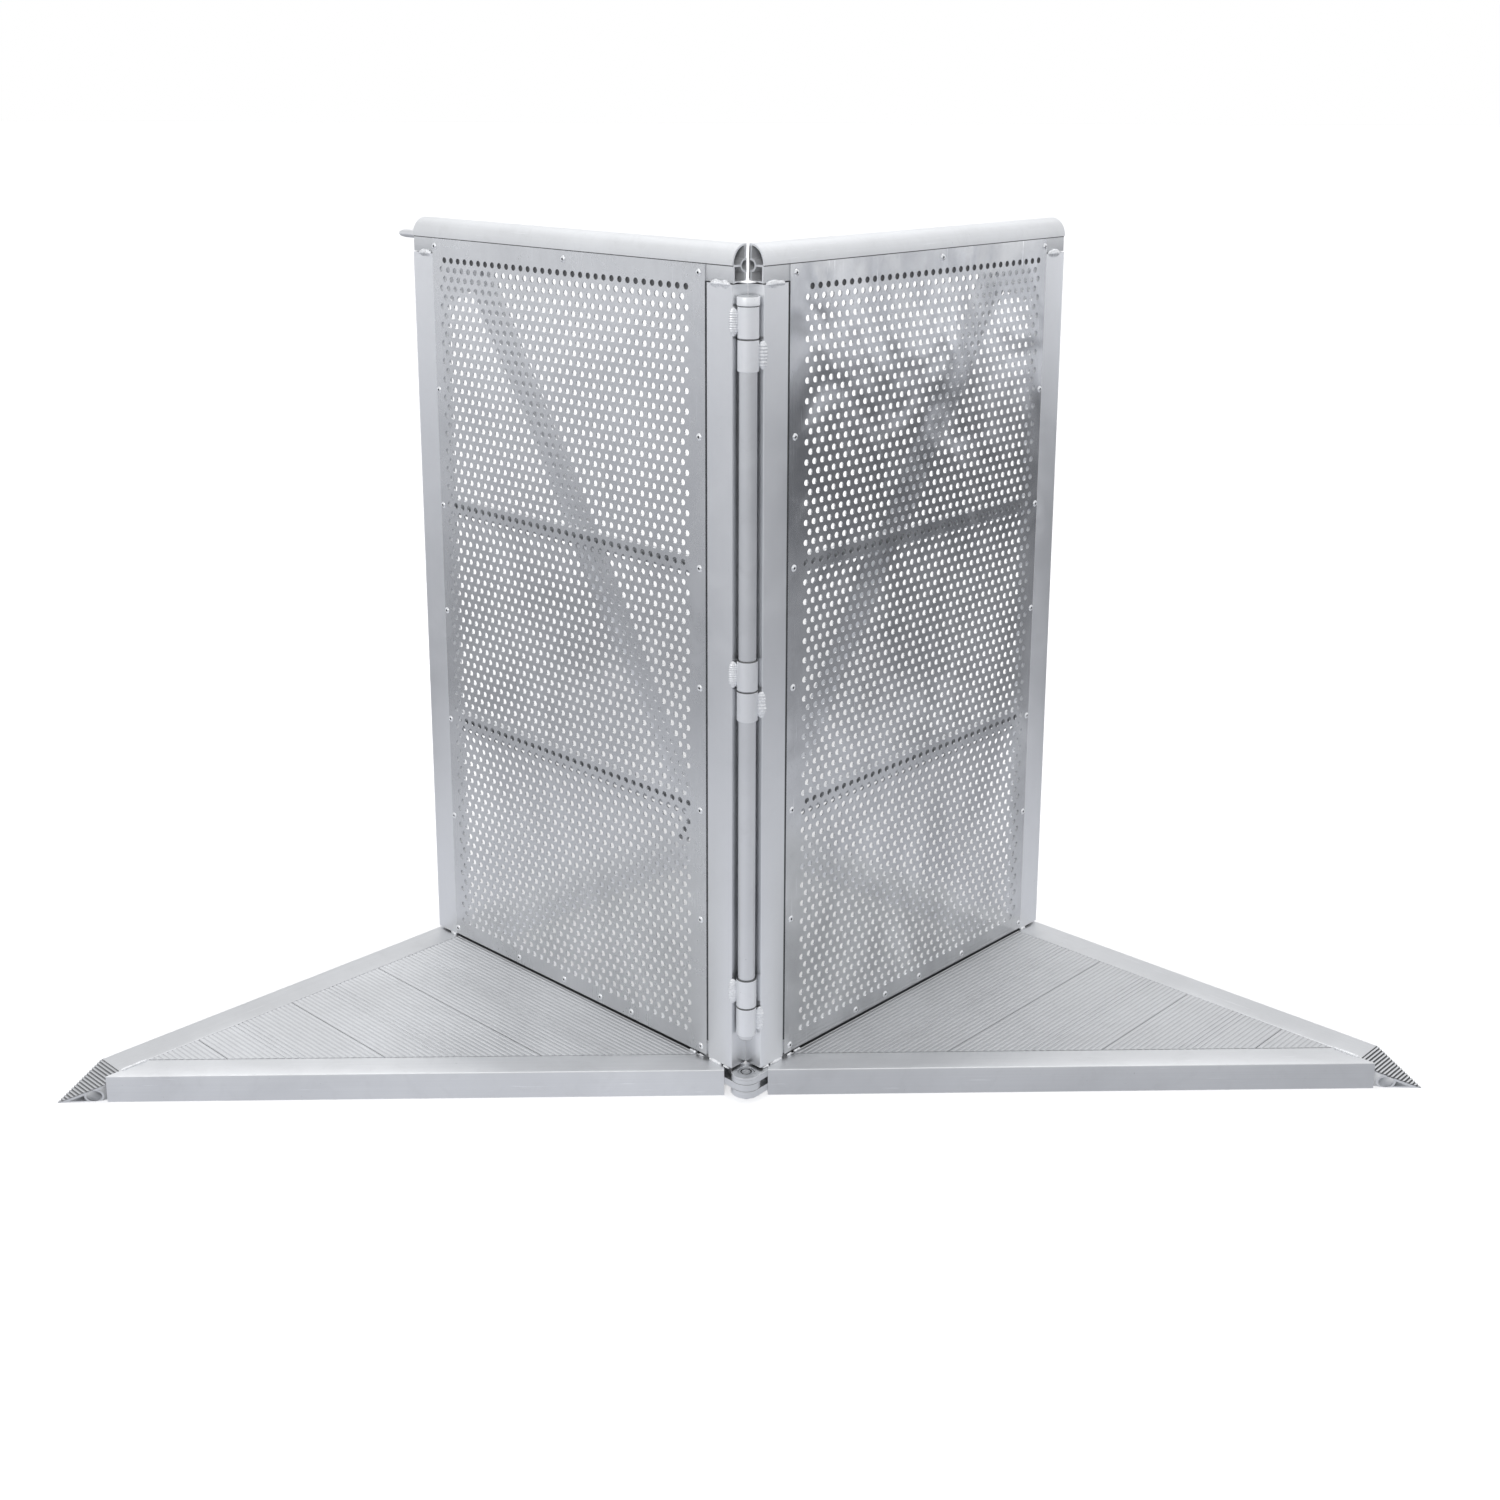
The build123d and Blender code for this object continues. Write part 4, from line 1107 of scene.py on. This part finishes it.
def studio_surroundings(reach):
    """What the polished faces mirror below the horizon: pale paper near by and a darker room around it."""
    around = ground_sheet("surroundings", reach, 0.0003)
    around.visible_camera = False
    around.visible_diffuse = False
    around.visible_shadow = False
    graph = new_material("surroundings")
    plain = graph.mapped(0.0, (1, 1, 1))
    radius = graph.node("ShaderNodeVectorMath", {0: plain}, "Value", operation="LENGTH")
    sideways = graph.node("ShaderNodeSeparateXYZ", {"Vector": plain}, "X")
    bearing = graph.math("DIVIDE", sideways, radius)
    share = graph.math("DIVIDE", radius, reach)
    tones = {}
    for direction, stops in SURROUNDINGS.items():
        tones[direction] = graph.node("ShaderNodeValToRGB", {"Fac": share}, "Color")
        ramp = tones[direction].node.color_ramp
        ramp.interpolation = "EASE"
        for index, (metres, level) in enumerate(stops):
            element = ramp.elements[index] if index < 2 else ramp.elements.new(1.0)
            element.position = metres / reach
            element.color = (level * 0.96, level * 0.98, level * 1.04, 1)
    clutter = graph.noise(graph.mapped(0.0, (0.9, 0.9, 0.9)), 1.0, 3.0, 0.8)
    cluttered = graph.span(clutter, 0.45, 0.62, 0.0, 0.6)
    dark_right = graph.mix_colour(cluttered, tones["right"], (0.06, 0.065, 0.08, 1))
    far_enough = graph.span(radius, 2.0, 3.5)
    right = graph.mix_colour(far_enough, tones["right"], dark_right)
    colour = graph.mix_colour(graph.span(bearing, 0.15, 0.6), tones["front"], right)
    colour = graph.mix_colour(graph.span(bearing, -0.6, -0.15, 1.0, 0.0), colour, tones["left"])
    glow = graph.node("ShaderNodeEmission", {"Color": colour}, "Emission")
    graph.feed(graph.tree.nodes["Material Output"], {"Surface": glow})
    around.data.materials.append(graph.owner)


def studio_world():
    """White surround for the camera; for the light, a little brighter at the horizon than above."""
    world = bpy.data.worlds.new("studio")
    bpy.context.scene.world = world
    graph = Graph(world)
    direction = graph.node("ShaderNodeTexCoord", {}, "Generated")
    height = graph.node("ShaderNodeSeparateXYZ", {"Vector": direction}, "Z")
    sky = graph.node("ShaderNodeValToRGB", {"Fac": height}, "Color")
    horizon, above = sky.node.color_ramp.elements
    horizon.position = 0.0
    horizon.color = (0.97, 0.98, 1.0, 1)
    above.position = 0.5
    above.color = (0.88, 0.885, 0.90, 1)
    background = graph.tree.nodes["Background"]
    graph.feed(background, {"Color": sky, "Strength": WORLD_LIGHT})
    white = graph.node("ShaderNodeBackground", {"Color": (1, 1, 1, 1)}, "Background")
    for_camera = graph.node("ShaderNodeLightPath", {}, "Is Camera Ray")
    choice = {"Fac": for_camera, 1: background.outputs["Background"], 2: white}
    chosen = graph.node("ShaderNodeMixShader", choice, "Shader")
    graph.feed(graph.tree.nodes["World Output"], {"Surface": chosen})


def softbox(name, place, width, height, power):
    """Rectangular area light turned towards the object."""
    light = bpy.data.lights.new(name, "AREA")
    light.shape = "RECTANGLE"
    light.size = width
    light.size_y = height
    light.energy = power
    lamp = add_object(name, light)
    lamp.location = place
    lamp.rotation_euler = (Vector(AIM) - Vector(place)).to_track_quat("-Z", "Y").to_euler()


def front_light():
    """Broad front light: it whitens the floor, but leaves it grey behind the panels."""
    light = bpy.data.lights.new("front", "SUN")
    light.energy = FLOOR_LIGHT
    light.angle = math.radians(18)
    lamp = add_object("front", light)
    heading = Vector((0.02, math.cos(FLOOR_LIGHT_FALL), -math.sin(FLOOR_LIGHT_FALL)))
    lamp.rotation_euler = heading.to_track_quat("-Z", "Y").to_euler()
    lamp.visible_glossy = False


def camera():
    """Camera in front of the hinge, slightly above the rails, looking down."""
    ahead = Vector((math.sin(CAMERA_YAW) * math.cos(CAMERA_PITCH),
                    math.cos(CAMERA_YAW) * math.cos(CAMERA_PITCH), -math.sin(CAMERA_PITCH)))
    level = Vector((math.cos(CAMERA_YAW), -math.sin(CAMERA_YAW), 0))
    upward = level.cross(ahead)
    right = level * math.cos(CAMERA_ROLL) + upward * math.sin(CAMERA_ROLL)
    up = upward * math.cos(CAMERA_ROLL) - level * math.sin(CAMERA_ROLL)
    made = bpy.data.cameras.new("camera")
    made.sensor_width = 36.0
    made.lens = CAMERA_LENS
    made.shift_y = CAMERA_SHIFT
    made.clip_end = 60.0
    eye = add_object("camera", made)
    turn = Matrix((right, up, -ahead)).transposed()
    eye.matrix_world = Matrix.Translation(CAMERA_PLACE) @ turn.to_4x4()
    bpy.context.scene.camera = eye


plain_floor(FLOOR_REACH)
studio_surroundings(MIRRORED_REACH)
studio_world()
softbox("overhead", (0.0, 0.9, 3.2), 3.4, 2.6, 25)
softbox("key", (-2.4, -2.6, 2.8), 1.2, 1.2, 14)
front_light()
camera()
bpy.context.scene.view_settings.view_transform = "Standard"
